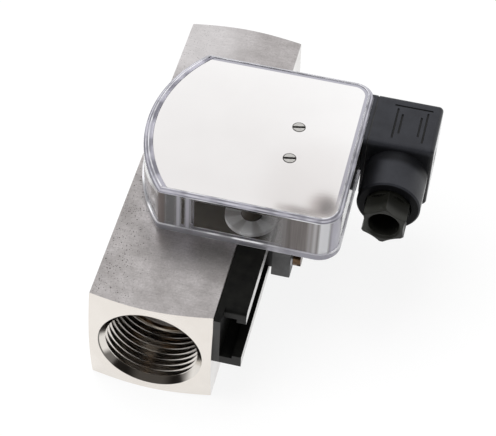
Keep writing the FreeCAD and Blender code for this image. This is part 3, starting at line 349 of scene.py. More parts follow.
def specks(finish, spacing, radius, share, offset=0.0):
    """Round specks: one where the surface lies in a speck; share is how many cells have one."""
    cells = node(finish, "ShaderNodeTexVoronoi")
    cells.inputs["Scale"].default_value = 1 / spacing
    parts = node(finish, "ShaderNodeSeparateColor")
    join(finish, shifted(finish, offset), cells.inputs["Vector"])
    join(finish, cells.outputs["Color"], parts.inputs[0])
    near = spread(finish, cells.outputs["Distance"], 1, 0, 0.5 * radius / spacing, radius / spacing, True)
    chosen = spread(finish, parts.outputs[0], 0, 1, 1 - share, 1 - share + 0.05)
    return times(finish, near, chosen)


def relief(finish, height, depth, strength=1.0):
    """Drive the shader's normal from a height, depth in metres."""
    bump = node(finish, "ShaderNodeBump")
    bump.inputs["Strength"].default_value = strength
    bump.inputs["Distance"].default_value = depth
    join(finish, height, bump.inputs["Height"])
    feed(finish, bump.outputs["Normal"], "Normal")


def one_part(finish, kind, axis):
    """One part of the surface point's place or of its normal."""
    place = node(finish, "ShaderNodeTexCoord")
    parts = node(finish, "ShaderNodeSeparateXYZ")
    join(finish, place.outputs[kind], parts.inputs[0])
    return parts.outputs[axis]


def along(finish, axis):
    """A coordinate of the surface point, in metres."""
    return one_part(finish, "Object", axis)


def slope(finish, axis, low, high, from_low, from_high, smooth=False):
    """Map a coordinate of the surface point to a range."""
    return spread(finish, along(finish, axis), low, high, from_low, from_high, smooth)


def facing(finish, axis, low=0.80, high=0.95):
    """One where the surface faces along an axis of the object, either way."""
    part = combine(finish, one_part(finish, "Normal", axis), 0, "ABSOLUTE")
    return spread(finish, part, 0, 1, low, high, True)


def band(finish, value, low, high, soft):
    """One between low and high, falling to nothing over a soft width outside them."""
    rise = spread(finish, value, 0, 1, low - soft, low, True)
    return times(finish, rise, spread(finish, value, 1, 0, high, high + soft, True))


def diagonal(finish, first, second):
    """The length of the diagonal over two lengths."""
    squares = combine(finish, times(finish, first, first), times(finish, second, second))
    return combine(finish, squares, 0.5, "POWER")


def dress(finish, *node_names):
    """Give carried-over nodes their material."""
    for node_name in node_names:
        mesh_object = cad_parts[node_name]
        if not mesh_object.material_slots:
            mesh_object.data.materials.append(finish)
        for slot in mesh_object.material_slots:
            slot.material = finish


steel = new_finish("stainless_body", drawn_steel, satin_roughness, metallic=1.0)
mottle = grain(steel, 11 * mm, detail=6, rough=0.66)
fine_mottle = grain(steel, 0.8 * mm, detail=4, rough=0.75, offset=3.1)
marks = grain(steel, 0.30 * mm, stretch=(30, 1, 30), detail=3, rough=0.6, offset=7.7)
pitted_side = slope(steel, 0, 1.0, 0.22, -14 * mm, -2 * mm, True)
pits = specks(steel, 1.2 * mm, 0.29 * mm, 0.60, offset=0.011)
small_pits = specks(steel, 0.65 * mm, 0.18 * mm, 0.62, offset=0.037)
pits = times(steel, greater(steel, pits, small_pits), pitted_side)
# Painted highlight: towards the back and the left, the bar's top is painted lighter.
far_left_highlight = times(steel, slope(steel, 1, 0, 0.42, 92 * mm, 112 * mm, True),
                 slope(steel, 0, 1, 0, -12 * mm, 10 * mm, True))
drawn = blend(steel, spread(steel, mottle, 0, 1, 0.36, 0.62), drawn_steel_dark, drawn_steel)
for share, tint in ((spread(steel, fine_mottle, 0.5, 0, 0.30, 0.62), mottled_steel),
                    (spread(steel, marks, 0, 0.42, 0.48, 0.68), scored_steel),
                    (times(steel, pits, 0.92), pit_dark),
                    (far_left_highlight, far_left_highlight_steel)):
    drawn = blend(steel, share, drawn, tint)
# Painted sheen: the faces across the bar, left and right, are painted lighter than its top.
side_sheen_tone = blend(steel, spread(steel, mottle, 0.25, 0), side_sheen_steel, drawn_steel)
drawn = blend(steel, facing(steel, 0), drawn, side_sheen_tone)

turned_marks = grain(steel, 0.5 * mm, detail=3, rough=0.6, offset=2.2)
turned_cloud = grain(steel, 9 * mm, detail=4, offset=4.4)
end_pits = specks(steel, 7.0 * mm, 0.5 * mm, 0.12, offset=0.052)
turned_colour = turned_steel
for share, tint in ((spread(steel, turned_marks, 0, 0.25), turned_steel_marked),
                    (spread(steel, turned_cloud, 0, 0.4), turned_steel_cloudy),
                    (times(steel, end_pits, 0.5), turned_steel_pit)):
    turned_colour = blend(steel, share, turned_colour, tint)

out_x = combine(steel, along(steel, 0), 0, "ABSOLUTE")
out_z = combine(steel, along(steel, 2), 0, "ABSOLUTE")
from_axis = diagonal(steel, out_x, out_z)
skin_share = spread(steel, greater(steel, out_x, out_z), 0, 1, skin_inner, skin_outer)
face_share = spread(steel, from_axis, 0, 1, mouth_radius, mouth_radius + 0.2 * mm)
turned_share = times(steel, facing(steel, 1), face_share)
skin = blend(steel, skin_share, bore_steel, drawn)

body_low, body_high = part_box("flow_body")
inlet_cone = body_low[1] + cone_depth
outlet_cone = body_high[1] - cone_depth
# Painted shade and reflection: the cone at each port's mouth is painted dark over its upper half, at its
# lower sides and in a thin line round its left edge.
at_ends = greater(steel, slope(steel, 1, 1, 0, inlet_cone - cone_soft, inlet_cone + cone_soft),
                  slope(steel, 1, 0, 1, outlet_cone - cone_soft, outlet_cone + cone_soft))
on_cone = times(steel, band(steel, from_axis, cone_radius, mouth_radius, 0.08 * mm), at_ends)
upper_cone = times(steel, slope(steel, 2, 0, 0.93, 0 * mm, 5 * mm, True),
                   slope(steel, 0, 1, 0.55, 2 * mm, 12 * mm, True))
lower_cone = times(steel, slope(steel, 2, 0.86, 0, -8 * mm, -5 * mm, True),
                   slope(steel, 0, 1, 0, 10.5 * mm, 14.5 * mm, True))
lower_cone = times(steel, lower_cone, spread(steel, out_x, 0, 1, 3.5 * mm, 8 * mm, True))
outer_line = times(steel, band(steel, from_axis, mouth_line_radius, mouth_radius, 0.06 * mm),
                   slope(steel, 0, 0.85, 0, -13 * mm, -6 * mm, True))
cone_shade_share = greater(steel, greater(steel, upper_cone, lower_cone), outer_line)
skin = blend(steel, times(steel, on_cone, cone_shade_share), skin, cone_painted_shade)
feed(steel, blend(steel, turned_share, skin, turned_colour), "Base Color")


def pick(finish, share, low, high):
    """Mix two numbers, each a number or a socket."""
    mixed = node(finish, "ShaderNodeMix", data_type="FLOAT")
    join(finish, share, mixed.inputs[0])
    fill(finish, mixed.inputs[2], low)
    fill(finish, mixed.inputs[3], high)
    return mixed.outputs[0]


rough_drawn = spread(steel, mottle, satin_roughness + 0.06, satin_roughness - 0.06)
rough_skin = pick(steel, skin_share, bore_roughness, rough_drawn)
feed(steel, pick(steel, turned_share, rough_skin, turned_roughness), "Roughness")
surface = minus(steel, combine(steel, fine_mottle, marks), pits)
relief(steel, times(steel, surface, skin_share), 0.02 * mm, 0.5)
dress(steel, "flow_body")

# Guide spiders, rod, clips and snap rings: brass spiders turned and milled from bar, a ground
# stainless rod, and spring steel rings that snap into grooves in the bore.
# The guides' and piston's brass is much darker than the gears': partly its own tarnish, partly painted
# shade for the depth of the bore.
shaded_brass_low = (0.20, 0.135, 0.085)
shaded_brass_high = (0.34, 0.240, 0.155)
rod_grey = (0.66, 0.66, 0.66)
spring_grey = (0.40, 0.40, 0.42)


def brass_finish(name, low, high, roughness):
    """Brass with cloudy tarnish and fine tool marks."""
    finish = new_finish(name, high, roughness, metallic=1.0)
    cloud_and_painted_light = grain(finish, 3 * mm, detail=5)
    tool = grain(finish, 0.12 * mm, stretch=(1, 12, 1), detail=2, offset=4.0)
    feed(finish, blend(finish, spread(finish, cloud_and_painted_light, 0, 1), low, high), "Base Color")
    feed(finish, spread(finish, cloud_and_painted_light, roughness + 0.10, roughness - 0.06), "Roughness")
    relief(finish, tool, 0.01 * mm, 0.4)
    return finish


def steel_finish(name, colour, roughness, stretch=(1, 14, 1)):
    """Bright steel with fine marks along one way."""
    finish = new_finish(name, colour, roughness, metallic=1.0)
    fine_marks = grain(finish, 0.1 * mm, stretch=stretch, detail=3)
    cloud_and_painted_light = grain(finish, 2.5 * mm, detail=4, offset=5.0)
    darker = tuple(0.72 * part for part in colour)
    feed(finish, blend(finish, spread(finish, cloud_and_painted_light, 0, 1), darker, colour), "Base Color")
    feed(finish, spread(finish, fine_marks, roughness - 0.07, roughness + 0.09), "Roughness")
    relief(finish, fine_marks, 0.01 * mm, 0.3)
    return finish


guide_brass = brass_finish("brass_guides", shaded_brass_low, shaded_brass_high, 0.34)
rod_steel = steel_finish("stainless_rod", rod_grey, 0.20)
spring_steel = steel_finish("spring_steel", spring_grey, 0.30, stretch=(8, 8, 1))
dress(guide_brass, "front_guide_spider", "rear_guide_spider", "orifice_ring")
dress(rod_steel, "guide_rod")
dress(spring_steel, "snap_rings", "rod_clips")

# Piston: a turned brass cone and cap with a black magnet ring between them, carried on the rod
# and pushed towards the orifice ring by the spring.
magnet_black = (0.055, 0.055, 0.060)
magnet_dark = (0.035, 0.035, 0.038)
magnet = new_finish("magnet_black", magnet_black, 0.62)
magnet_grain = grain(magnet, 0.25 * mm, detail=3)
feed(magnet, blend(magnet, spread(magnet, magnet_grain, 0, 1), magnet_dark, magnet_black), "Base Color")
relief(magnet, magnet_grain, 0.03 * mm, 0.5)
dress(guide_brass, "piston_cone", "piston_cap")
dress(magnet, "piston_magnet", "follower_magnet")

# Return spring: a coil of round spring wire between the piston's cap and the rear guide's hub.
# It is as long as the space that its solid fills, and is made at that one length; in the meter it shortens
# as the piston travels.
spring_wire = 0.5 * mm
spring_coil = 4.8 * mm
spring_turns = 8.0
spring_clearance = 0.3 * mm
coil_steps = 48
wire_sides = 14
spring_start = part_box("piston_cap")[1][1] + spring_clearance
spring_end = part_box("rear_guide_spider")[0][1] - spring_clearance


def new_tree(name, inputs):
    """A geometry tree with named number inputs, and its given values and its end."""
    tree = bpy.data.node_groups.new(name, "GeometryNodeTree")
    tree.interface.new_socket("Geometry", in_out="INPUT", socket_type="NodeSocketGeometry")
    for label, value in inputs.items():
        kind = "NodeSocketInt" if isinstance(value, int) else "NodeSocketFloat"
        tree.interface.new_socket(label, in_out="INPUT", socket_type=kind).default_value = value
    tree.interface.new_socket("Geometry", in_out="OUTPUT", socket_type="NodeSocketGeometry")
    return tree, tree.nodes.new("NodeGroupInput").outputs, tree.nodes.new("NodeGroupOutput")


def grow(tree, kind, inputs, **settings):
    """Add a node to a geometry tree, each input joined to a socket or set to a value."""
    made = tree.nodes.new(kind)
    for key, value in settings.items():
        setattr(made, key, value)
    for key, value in inputs.items():
        if isinstance(value, bpy.types.NodeSocket):
            tree.links.new(value, made.inputs[key])
        else:
            made.inputs[key].default_value = value
    return made


def finish_tree(tree, shape, material, out):
    """End a tree with Realize Instances and Set Material."""
    real = grow(tree, "GeometryNodeRealizeInstances", {"Geometry": shape})
    coat = grow(tree, "GeometryNodeSetMaterial", {"Geometry": real.outputs[0], "Material": material})
    tree.links.new(coat.outputs[0], out.inputs[0])


def worked_out(piece, name):
    """The mesh of an object with its modifiers applied."""
    bpy.context.view_layer.update()
    seen_by = bpy.context.evaluated_depsgraph_get()
    mesh = bpy.data.meshes.new_from_object(piece.evaluated_get(seen_by))
    mesh.name = name
    return mesh


def grown_by(tree, name, points, values, material, turns=()):
    """Run a tree on a few points and keep the result as a plain mesh object at the origin."""
    mesh = bpy.data.meshes.new(name)
    mesh.from_pydata([tuple(point) for point in points], [], [])
    if turns:
        layer = mesh.attributes.new("turn", "FLOAT_VECTOR", "POINT")
        for index, turn in enumerate(turns):
            layer.data[index].vector = turn
    seed = in_scene(name + "_points", mesh)
    modifier = seed.modifiers.new("grow", "NODES")
    modifier.node_group = tree
    for item in tree.interface.items_tree:
        if item.in_out == "INPUT" and item.name in values:
            modifier[item.identifier] = values[item.name]
    grown = worked_out(seed, name)
    bpy.data.objects.remove(seed)
    if not grown.materials:
        grown.materials.append(material)
    return in_scene(name, grown)


coil_tree, coil_given, coil_out = new_tree("spring_coil", {
    "Turns": 8.0, "Coil radius": 0.005, "Length": 0.03, "Wire radius": 0.0005})
spiral = grow(coil_tree, "GeometryNodeCurveSpiral", {
    "Resolution": coil_steps, "Rotations": coil_given["Turns"], "Start Radius": coil_given["Coil radius"],
    "End Radius": coil_given["Coil radius"], "Height": coil_given["Length"]})
wire_ring = grow(coil_tree, "GeometryNodeCurvePrimitiveCircle", {
    "Resolution": wire_sides, "Radius": coil_given["Wire radius"]})
swept = grow(coil_tree, "GeometryNodeCurveToMesh", {
    "Curve": spiral.outputs[0], "Profile Curve": wire_ring.outputs[0], "Fill Caps": True})
smooth_wire = grow(coil_tree, "GeometryNodeSetShadeSmooth", {"Geometry": swept.outputs[0]})
finish_tree(coil_tree, smooth_wire.outputs[0], spring_steel, coil_out)
spring = grown_by(coil_tree, "return_spring", [(0, 0, 0)], {
    "Turns": spring_turns, "Coil radius": spring_coil,
    "Length": spring_end - spring_start - 2 * spring_wire, "Wire radius": spring_wire}, spring_steel)
spring_lie = Matrix.Rotation(-math.pi / 2, 4, "X")
spring.data.transform(Matrix.Translation((0, spring_start + spring_wire, 0)) @ spring_lie)
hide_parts("piston_spring")
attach(spring, "meter_body")
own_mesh(spring)

# Side rail: an extruded aluminium channel, black anodised, its ends sawn bare and its two outer
# lips worn bright. Two countersunk screws hold it to the bar.
rail_black = (0.006, 0.006, 0.006)
anodised_low = (0.004, 0.004, 0.004)
anodised_high = (0.010, 0.010, 0.009)
bare_aluminium = (0.74, 0.73, 0.72)
web_bare = 0.10
channel_bare = 0.05
web_x = 22.2 * mm
lip_x = 29.3 * mm
rail = new_finish("rail_black", rail_black, 0.34, specular=0.05)
rail_marks = grain(rail, 0.10 * mm, stretch=(1, 60, 1), detail=3)
rail_cloud = grain(rail, 4 * mm, detail=4, offset=9.0)
lip_grain = grain(rail, 1.6 * mm, stretch=(1, 3, 1), detail=2, offset=1.7)
anodised = blend(rail, spread(rail, rail_cloud, 0, 1), anodised_low, anodised_high)
lip_edge = times(rail, facing(rail, 0), slope(rail, 0, 0, 1, lip_x, lip_x + 0.06 * mm))
lip_edge = times(rail, lip_edge, spread(rail, lip_grain, 1, 0.35, 0.64, 0.70))
web_share = slope(rail, 0, web_bare, channel_bare, web_x, web_x + 0.3 * mm)
sawn_end = times(rail, facing(rail, 1), web_share)
bare_share = greater(rail, lip_edge, sawn_end)
feed(rail, blend(rail, bare_share, anodised, bare_aluminium), "Base Color")
feed(rail, bare_share, "Metallic")
feed(rail, spread(rail, rail_marks, 0.30, 0.46), "Roughness")
relief(rail, rail_marks, 0.015 * mm, 0.4)
dress(rail, "sensor_rail")

# Slotted screws: one tree makes every slotted screw from its head, slot and threaded shank, at
# its seat and turned as the screwdriver left it. The rail's own screws are zinc plated.
thread_share = 0.12
head_sides = 48
shank_sides = 32
zinc_grey = (0.62, 0.61, 0.58)


def screw_tree(name, material):
    """Head with a slot, and a shank with ring threads, instanced on points by their turn."""
    tree, given, out = new_tree(name, {
        "Head radius": 0.003, "Head height": 0.002, "Slot width": 0.0009, "Slot depth": 0.0006,
        "Shank radius": 0.0015, "Shank length": 0.006, "Thread pitch": 0.0005, "Thread count": 10})

    def part_of(value, factor):
        return grow(tree, "ShaderNodeMath", {0: value, 1: factor}, operation="MULTIPLY").outputs[0]

    def moved(shape, height):
        up = grow(tree, "ShaderNodeCombineXYZ", {"Z": height})
        shift = grow(tree, "GeometryNodeTransform", {"Geometry": shape, "Translation": up.outputs[0]})
        return shift.outputs[0]

    core_radius = part_of(given["Shank radius"], 1 - thread_share)
    head = grow(tree, "GeometryNodeMeshCylinder", {
        "Vertices": head_sides, "Radius": given["Head radius"], "Depth": given["Head height"]})
    head_up = moved(head.outputs["Mesh"], part_of(given["Head height"], 0.5))
    slot_size = grow(tree, "ShaderNodeCombineXYZ", {
        "X": part_of(given["Head radius"], 3), "Y": given["Slot width"],
        "Z": part_of(given["Slot depth"], 2)})
    cutter = grow(tree, "GeometryNodeMeshCube", {"Size": slot_size.outputs[0]})
    cutter_up = moved(cutter.outputs["Mesh"], given["Head height"])
    slotted = grow(tree, "GeometryNodeMeshBoolean", {
        "Mesh 1": head_up, "Mesh 2": cutter_up}, operation="DIFFERENCE")
    shank = grow(tree, "GeometryNodeMeshCylinder", {
        "Vertices": shank_sides, "Radius": core_radius, "Depth": given["Shank length"]})
    shank_down = moved(shank.outputs["Mesh"], part_of(given["Shank length"], -0.5))
    ridge = grow(tree, "GeometryNodeMeshCone", {
        "Vertices": shank_sides, "Radius Bottom": given["Shank radius"], "Radius Top": core_radius,
        "Depth": part_of(given["Thread pitch"], 0.5)})
    down = grow(tree, "ShaderNodeCombineXYZ", {"Z": part_of(given["Thread pitch"], -1)})
    row = grow(tree, "GeometryNodeMeshLine", {
        "Count": given["Thread count"], "Offset": down.outputs[0], "Start Location": down.outputs[0]})
    ridges = grow(tree, "GeometryNodeInstanceOnPoints", {
        "Points": row.outputs["Mesh"], "Instance": ridge.outputs["Mesh"]})
    whole = tree.nodes.new("GeometryNodeJoinGeometry")
    for part in (slotted.outputs["Mesh"], shank_down, ridges.outputs[0]):
        tree.links.new(part, whole.inputs[0])
    turn = grow(tree, "GeometryNodeInputNamedAttribute", {"Name": "turn"}, data_type="FLOAT_VECTOR")
    placed = grow(tree, "GeometryNodeInstanceOnPoints", {
        "Points": given["Geometry"], "Instance": whole.outputs[0], "Rotation": turn.outputs[0]})
    finish_tree(tree, placed.outputs[0], material, out)
    return tree


def eased(piece, width, angle, clamp=True):
    """Round a piece's edges for good, and shade it smooth between them."""
    bevel = piece.modifiers.new("eased", "BEVEL")
    bevel.width = width
    bevel.segments = 3
    bevel.limit_method = "ANGLE"
    bevel.angle_limit = math.radians(angle)
    bevel.use_clamp_overlap = clamp
    bevel.harden_normals = True
    for face in piece.data.polygons:
        face.use_smooth = True
    rounded = worked_out(piece, piece.name)
    piece.modifiers.remove(bevel)
    piece.data = rounded


def slotted_screws(name, node_name, seats, direction, slot_turns, values, finish, round_by):
    """Screws at their seats, heads towards direction, standing for a node of the frame."""
    stand = Vector((0, 0, 1)).rotation_difference(Vector(direction)).to_matrix()
    turns = [(stand @ Matrix.Rotation(math.radians(angle), 3, "Z")).to_euler() for angle in slot_turns]
    screws = grown_by(screw_tree(name + "_tree", finish), name, seats, values, finish, turns)
    eased(screws, round_by, 40)
    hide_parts(node_name)
    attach(screws, "meter_body")
    return screws


zinc = steel_finish("zinc_screws", zinc_grey, 0.32, stretch=(1, 1, 1))
dress(zinc, "rail_screws")

# Follower: a white carriage in the rail with a flat magnet, and a brass rack that reaches up
# through the floor to the gear. The piston's magnet draws it along.
white_plastic = (0.80, 0.80, 0.79)
white_plastic_low = (0.72, 0.72, 0.71)
gear_brass_low = (0.56, 0.42, 0.20)
gear_brass_high = (0.78, 0.60, 0.30)


def plastic_finish(name, low, high, roughness, specular=0.4, size=0.5 * mm, depth=0.012 * mm):
    """Moulded plastic, slightly cloudy, with a fine grain."""
    finish = new_finish(name, high, roughness, specular=specular)
    skin_grain = grain(finish, size, detail=3)
    cloud_and_painted_light = grain(finish, 6 * mm, detail=3, offset=6.0)
    feed(finish, blend(finish, spread(finish, cloud_and_painted_light, 0, 1), low, high), "Base Color")
    feed(finish, spread(finish, skin_grain, roughness - 0.05, roughness + 0.08), "Roughness")
    relief(finish, skin_grain, depth, 0.5)
    return finish


white = plastic_finish("white_plastic", white_plastic_low, white_plastic, 0.42)
gear_brass = brass_finish("brass_gears", gear_brass_low, gear_brass_high, 0.26)
dress(white, "follower_carriage")
dress(gear_brass, "follower_rack")

# Mounting block: a dark grey hard anodised block under the housing, clamped to the rail's lips
# by two browned cheese-head screws with thin washers and square nuts.
block_grey = (0.085, 0.085, 0.088)
block_low = (0.086, 0.086, 0.087)
block_high = (0.136, 0.136, 0.138)
gap_shade_black = (0.008, 0.008, 0.008)
browned_low = (0.035, 0.021, 0.013)
browned_high = (0.185, 0.120, 0.070)
gap_near = 0.85 * mm
gap_far = 1.25 * mm
clamp_washer_radius = 3.9 * mm
block = new_finish("block_grey", block_grey, 0.48, specular=0.35)
block_marks = grain(block, 0.16 * mm, stretch=(1, 1, 18), detail=3)
block_cloud = grain(block, 5 * mm, detail=4, offset=2.0)
block_tone = blend(block, spread(block, block_cloud, 0, 1), block_low, block_high)
# Painted shade: the block's face next to the rail's lip is painted black, as the shade in the gap between
# them.
rail_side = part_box("sensor_rail")[1][0]
beside_rail = slope(block, 0, 1, 0, rail_side + gap_near, rail_side + gap_far)
feed(block, blend(block, beside_rail, block_tone, gap_shade_black), "Base Color")
feed(block, spread(block, block_marks, 0.40, 0.56), "Roughness")
relief(block, block_marks, 0.015 * mm, 0.5)
dress(block, "mounting_block")
dress(zinc, "clamp_nuts")
dress(spring_steel, "clamp_washers")
browned = brass_finish("bronze_screws", browned_low, browned_high, 0.16)
clamp_low, clamp_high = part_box("clamp_screws")
washers_low, washers_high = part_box("clamp_washers")
clamp_seat_x = washers_high[0]
clamp_z = (washers_low[2] + washers_high[2]) / 2
clamp_seats = [(clamp_seat_x, y, clamp_z) for y in (
    washers_low[1] + clamp_washer_radius, washers_high[1] - clamp_washer_radius)]
clamp_screws = slotted_screws("clamp_screw_pair", "clamp_screws", clamp_seats, (1, 0, 0), (110, 155), {
    "Head radius": 3.5 * mm, "Head height": clamp_high[0] - clamp_seat_x, "Slot width": 1.1 * mm,
    "Slot depth": 1.1 * mm, "Shank radius": 2.0 * mm, "Shank length": clamp_seat_x - clamp_low[0],
    "Thread pitch": 0.7 * mm, "Thread count": 18}, browned, 0.28 * mm)

# Housing floor: a dark olive moulded plate under the movement, held by four pan-head screws.
# The movement, the switch and the dial stand on it.
olive_low = (0.050, 0.044, 0.032)
olive_high = (0.085, 0.076, 0.056)
olive = plastic_finish("floor_olive", olive_low, olive_high, 0.45, specular=0.3)
dress(olive, "housing_floor")
dress(zinc, "floor_screws")

# Movement: gear, bushes, bridge, pillars and posts in fine brass, a spindle of ground steel and a
# white cam. Pillars carry the bridge over the floor, and the posts on it take the plate's screws.
dress(gear_brass, "bridge_plate", "bridge_pillars", "screw_posts", "spindle_bushes", "spindle_gear",
      "pointer_cap")
dress(rod_steel, "spindle")
dress(white, "cam_disc")

# Pointer: a thin red painted needle on a turned hub, held on the spindle by its cap. The
# switch's plunger has the same red.
red_low = (0.42, 0.06, 0.04)
red_high = (0.60, 0.10, 0.07)
pointer_red = plastic_finish("pointer_red", red_low, red_high, 0.35)
dress(pointer_red, "pointer", "switch_plunger")

# Switch: a small black moulded case with three tinned tabs, beside the cam that works its
# plunger.
switch_low = (0.018, 0.018, 0.019)
switch_high = (0.034, 0.034, 0.036)
tin_grey = (0.72, 0.72, 0.71)
switch_black = plastic_finish("switch_black", switch_low, switch_high, 0.42, specular=0.3)
tin = steel_finish("tin_contacts", tin_grey, 0.28)
dress(switch_black, "micro_switch")
dress(tin, "switch_terminals")

# Set point dial: a white moulded disc with a dark slotted hub, turned by a screwdriver, its stem
# in a post of the floor. Its petals are shading and relief alone.
dial_hub_dark = (0.075, 0.062, 0.048)
dial_low_tone = (0.52, 0.51, 0.50)
dial_high_tone = (0.86, 0.86, 0.85)
dial_grain_tone = (0.62, 0.61, 0.60)
dial_petals = 7
dial_hub_radius = 3.3 * mm
dial_low, dial_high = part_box("set_point_dial")
dial = new_finish("dial_white", white_plastic, 0.38)
from_dial_x = minus(dial, along(dial, 0), (dial_low[0] + dial_high[0]) / 2)
from_dial_y = minus(dial, along(dial, 1), (dial_low[1] + dial_high[1]) / 2)
turned = combine(dial, from_dial_y, from_dial_x, "ARCTAN2")
waves = combine(dial, times(dial, turned, dial_petals), 0, "SINE")
petals = spread(dial, waves, 0, 1, -0.9, 0.5, True)
dial_grain = grain(dial, 0.6 * mm, detail=3)
dial_tone = blend(dial, petals, dial_low_tone, dial_high_tone)
dial_tone = blend(dial, spread(dial, dial_grain, 0, 0.25), dial_tone, dial_grain_tone)
far_squared = combine(dial, times(dial, from_dial_x, from_dial_x),
                      times(dial, from_dial_y, from_dial_y))
hub_share = spread(dial, far_squared, 1, 0, dial_hub_radius ** 2, (1.05 * dial_hub_radius) ** 2)
feed(dial, blend(dial, hub_share, dial_tone, dial_hub_dark), "Base Color")
relief(dial, combine(dial, petals, dial_grain), 0.05 * mm, 0.4)
dress(dial, "set_point_dial")

# Clear cover: a cup moulded in clear plastic, with a stepped foot, a bevelled top edge and two
# inner ribs. It stands on the bar and the block and is drawn down by the plate's two screws.
# The rows give, in millimetres along or across an edge, the wall's painted reflections and the rim's
# painted lines of light and shade.
clear_tint = (0.965, 0.965, 0.980)
rim_reflection_dark = (0.225, 0.220, 0.262)
rim_reflection_light = (0.520, 0.510, 0.585)
edge_highlight = (0.960, 0.960, 0.985)
foot_reflection_tint = (0.440, 0.430, 0.490)
wall_reflection_tint = (0.285, 0.252, 0.242)
wall_reflection_dark = (0.180, 0.157, 0.149)
wall_painted_reflections = (
    (-6.3, -4.7, 0.46, (0.260, 0.215, 0.200)),
    (-3.6, -1.6, 0.34, (0.120, 0.115, 0.122)),
    (-0.1, 0.3, 0.50, (0.780, 0.770, 0.850)),
    (2.9, 3.4, 0.52, (0.760, 0.750, 0.830)),
    (42.6, 42.9, 0.70, (0.450, 0.425, 0.425)),
    (44.2, 44.5, 0.76, (0.600, 0.580, 0.590)),
    (46.2, 48.4, 0.88, (0.880, 0.880, 0.905)),
    (49.8, 52.2, 0.74, (0.600, 0.585, 0.670)))
rim_light_and_shade_lines = (
    (0.62, 0.78, 0.80, (0.150, 0.145, 0.175)),
    (1.10, 1.30, 0.75, (0.760, 0.755, 0.820)),
    (1.56, 1.70, 0.70, (0.210, 0.205, 0.235)),
    (2.02, 2.22, 0.95, (0.930, 0.930, 0.960)))
rim_width = 2.3 * mm
rim_height = 1.25 * mm
foot_height = 2.40 * mm
edge_soft = 0.15 * mm
arc_centre_x = 32.8 * mm
arc_radius = 51.7 * mm
corner_radius = 7.5 * mm
clear_ior = 1.46
clear = new_finish("clear_plastic", clear_tint, 0.02)
shader_of(clear).inputs["IOR"].default_value = clear_ior
cover_low, cover_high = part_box("clear_cover")
rim_z = cover_high[2] - rim_height
foot_z = cover_low[2] + foot_height
glint_rows = (
    (cover_high[2] - 1.22 * mm, cover_high[2] - 0.98 * mm),
    (cover_low[2] + 2.20 * mm, cover_low[2] + 2.50 * mm),
    (cover_low[2], cover_low[2] + 0.25 * mm))


def from_upright(finish, x, y):
    """How far the surface point is from an upright axis, in metres."""
    place = node(finish, "ShaderNodeTexCoord")
    flat = node(finish, "ShaderNodeVectorMath", operation="MULTIPLY")
    flat.inputs[1].default_value = (1, 1, 0)
    gap = node(finish, "ShaderNodeVectorMath", operation="DISTANCE")
    gap.inputs[1].default_value = (x, y, 0)
    join(finish, place.outputs["Object"], flat.inputs[0])
    join(finish, flat.outputs["Vector"], gap.inputs[0])
    return gap.outputs["Value"]


def from_outline(finish):
    """How far the surface point lies within the outline of the cover's top, in metres."""
    plate_least, plate_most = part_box("front_plate")
    x = along(finish, 0)
    y = along(finish, 1)
    front = minus(finish, y, plate_least[1] - rim_width)
    back = minus(finish, plate_most[1] + rim_width, y)
    right = minus(finish, plate_most[0] + rim_width, x)
    reach = from_upright(finish, arc_centre_x, (plate_least[1] + plate_most[1]) / 2)
    left = minus(finish, arc_radius, reach)
    short = [greater(finish, minus(finish, corner_radius, gap), 0) for gap in (
        right, combine(finish, front, back, "MINIMUM"))]
    squared = minus(finish, corner_radius, diagonal(finish, short[0], short[1]))
    return combine(finish, squared, left, "MINIMUM")


height = along(clear, 2)
rim_share = spread(clear, height, 0, 1, rim_z, rim_z + edge_soft)
foot_share = spread(clear, height, 1, 0, foot_z, foot_z + edge_soft)
above_foot = minus(clear, 1.0, foot_share)
on_front = slope(clear, 1, 1, 0, cover_low[1] + 5 * mm, cover_low[1] + 9 * mm, True)
# Painted reflection: the front wall is made less clear and painted brown grey towards its right, with
# bright and dark upright streaks for the light and shade it mirrors and refracts.
wall_reflection_grain = grain(clear, 0.7 * mm, stretch=(1, 1, 40), detail=2, offset=2.6)
cloud_and_painted_light = times(clear, slope(clear, 0, 0, 0.68, 26 * mm, 41 * mm, True), on_front)
tone = blend(clear, spread(clear, wall_reflection_grain, 0, 1), wall_reflection_dark, wall_reflection_tint)
for low_x, high_x, share, tint in wall_painted_reflections:
    painted_streak = times(clear, band(clear, along(clear, 0), low_x * mm, high_x * mm, 1.1 * mm), on_front)
    painted_streak = times(clear, painted_streak, above_foot)
    tone = blend(clear, painted_streak, tone, tint)
    cloud_and_painted_light = greater(clear, cloud_and_painted_light, times(clear, painted_streak, share))
# Painted reflection: the rim is made less clear, more so towards the back, and painted in grey patches with
# lines of light and shade along its outline.
rim_reflection_patches = grain(clear, 7 * mm, detail=2, rough=0.4, offset=1.3)
rim_reflection_tone = blend(clear, spread(clear, rim_reflection_patches, 0, 1, 0.38, 0.62, True), rim_reflection_dark, rim_reflection_light)
inset = from_outline(clear)
rim_line_breaks = spread(clear, grain(clear, 5 * mm, detail=2, offset=8.4), 0.35, 1.0, 0.38, 0.60, True)
for low_in, high_in, share, tint in rim_light_and_shade_lines:
    line = times(clear, band(clear, inset, low_in * mm, high_in * mm, 0.16 * mm), rim_line_breaks)
    rim_reflection_tone = blend(clear, times(clear, line, share), rim_reflection_tone, tint)
rim_depth = slope(clear, 1, 0.74, 0.95, 70 * mm, 88 * mm, True)
tone = blend(clear, rim_share, tone, rim_reflection_tone)
# Painted reflection: the foot is painted lavender grey and made less clear.
tone = blend(clear, foot_share, tone, foot_reflection_tint)
cloud_and_painted_light = greater(clear, cloud_and_painted_light, times(clear, rim_share, rim_depth))
cloud_and_painted_light = greater(clear, cloud_and_painted_light, times(clear, foot_share, 0.42))
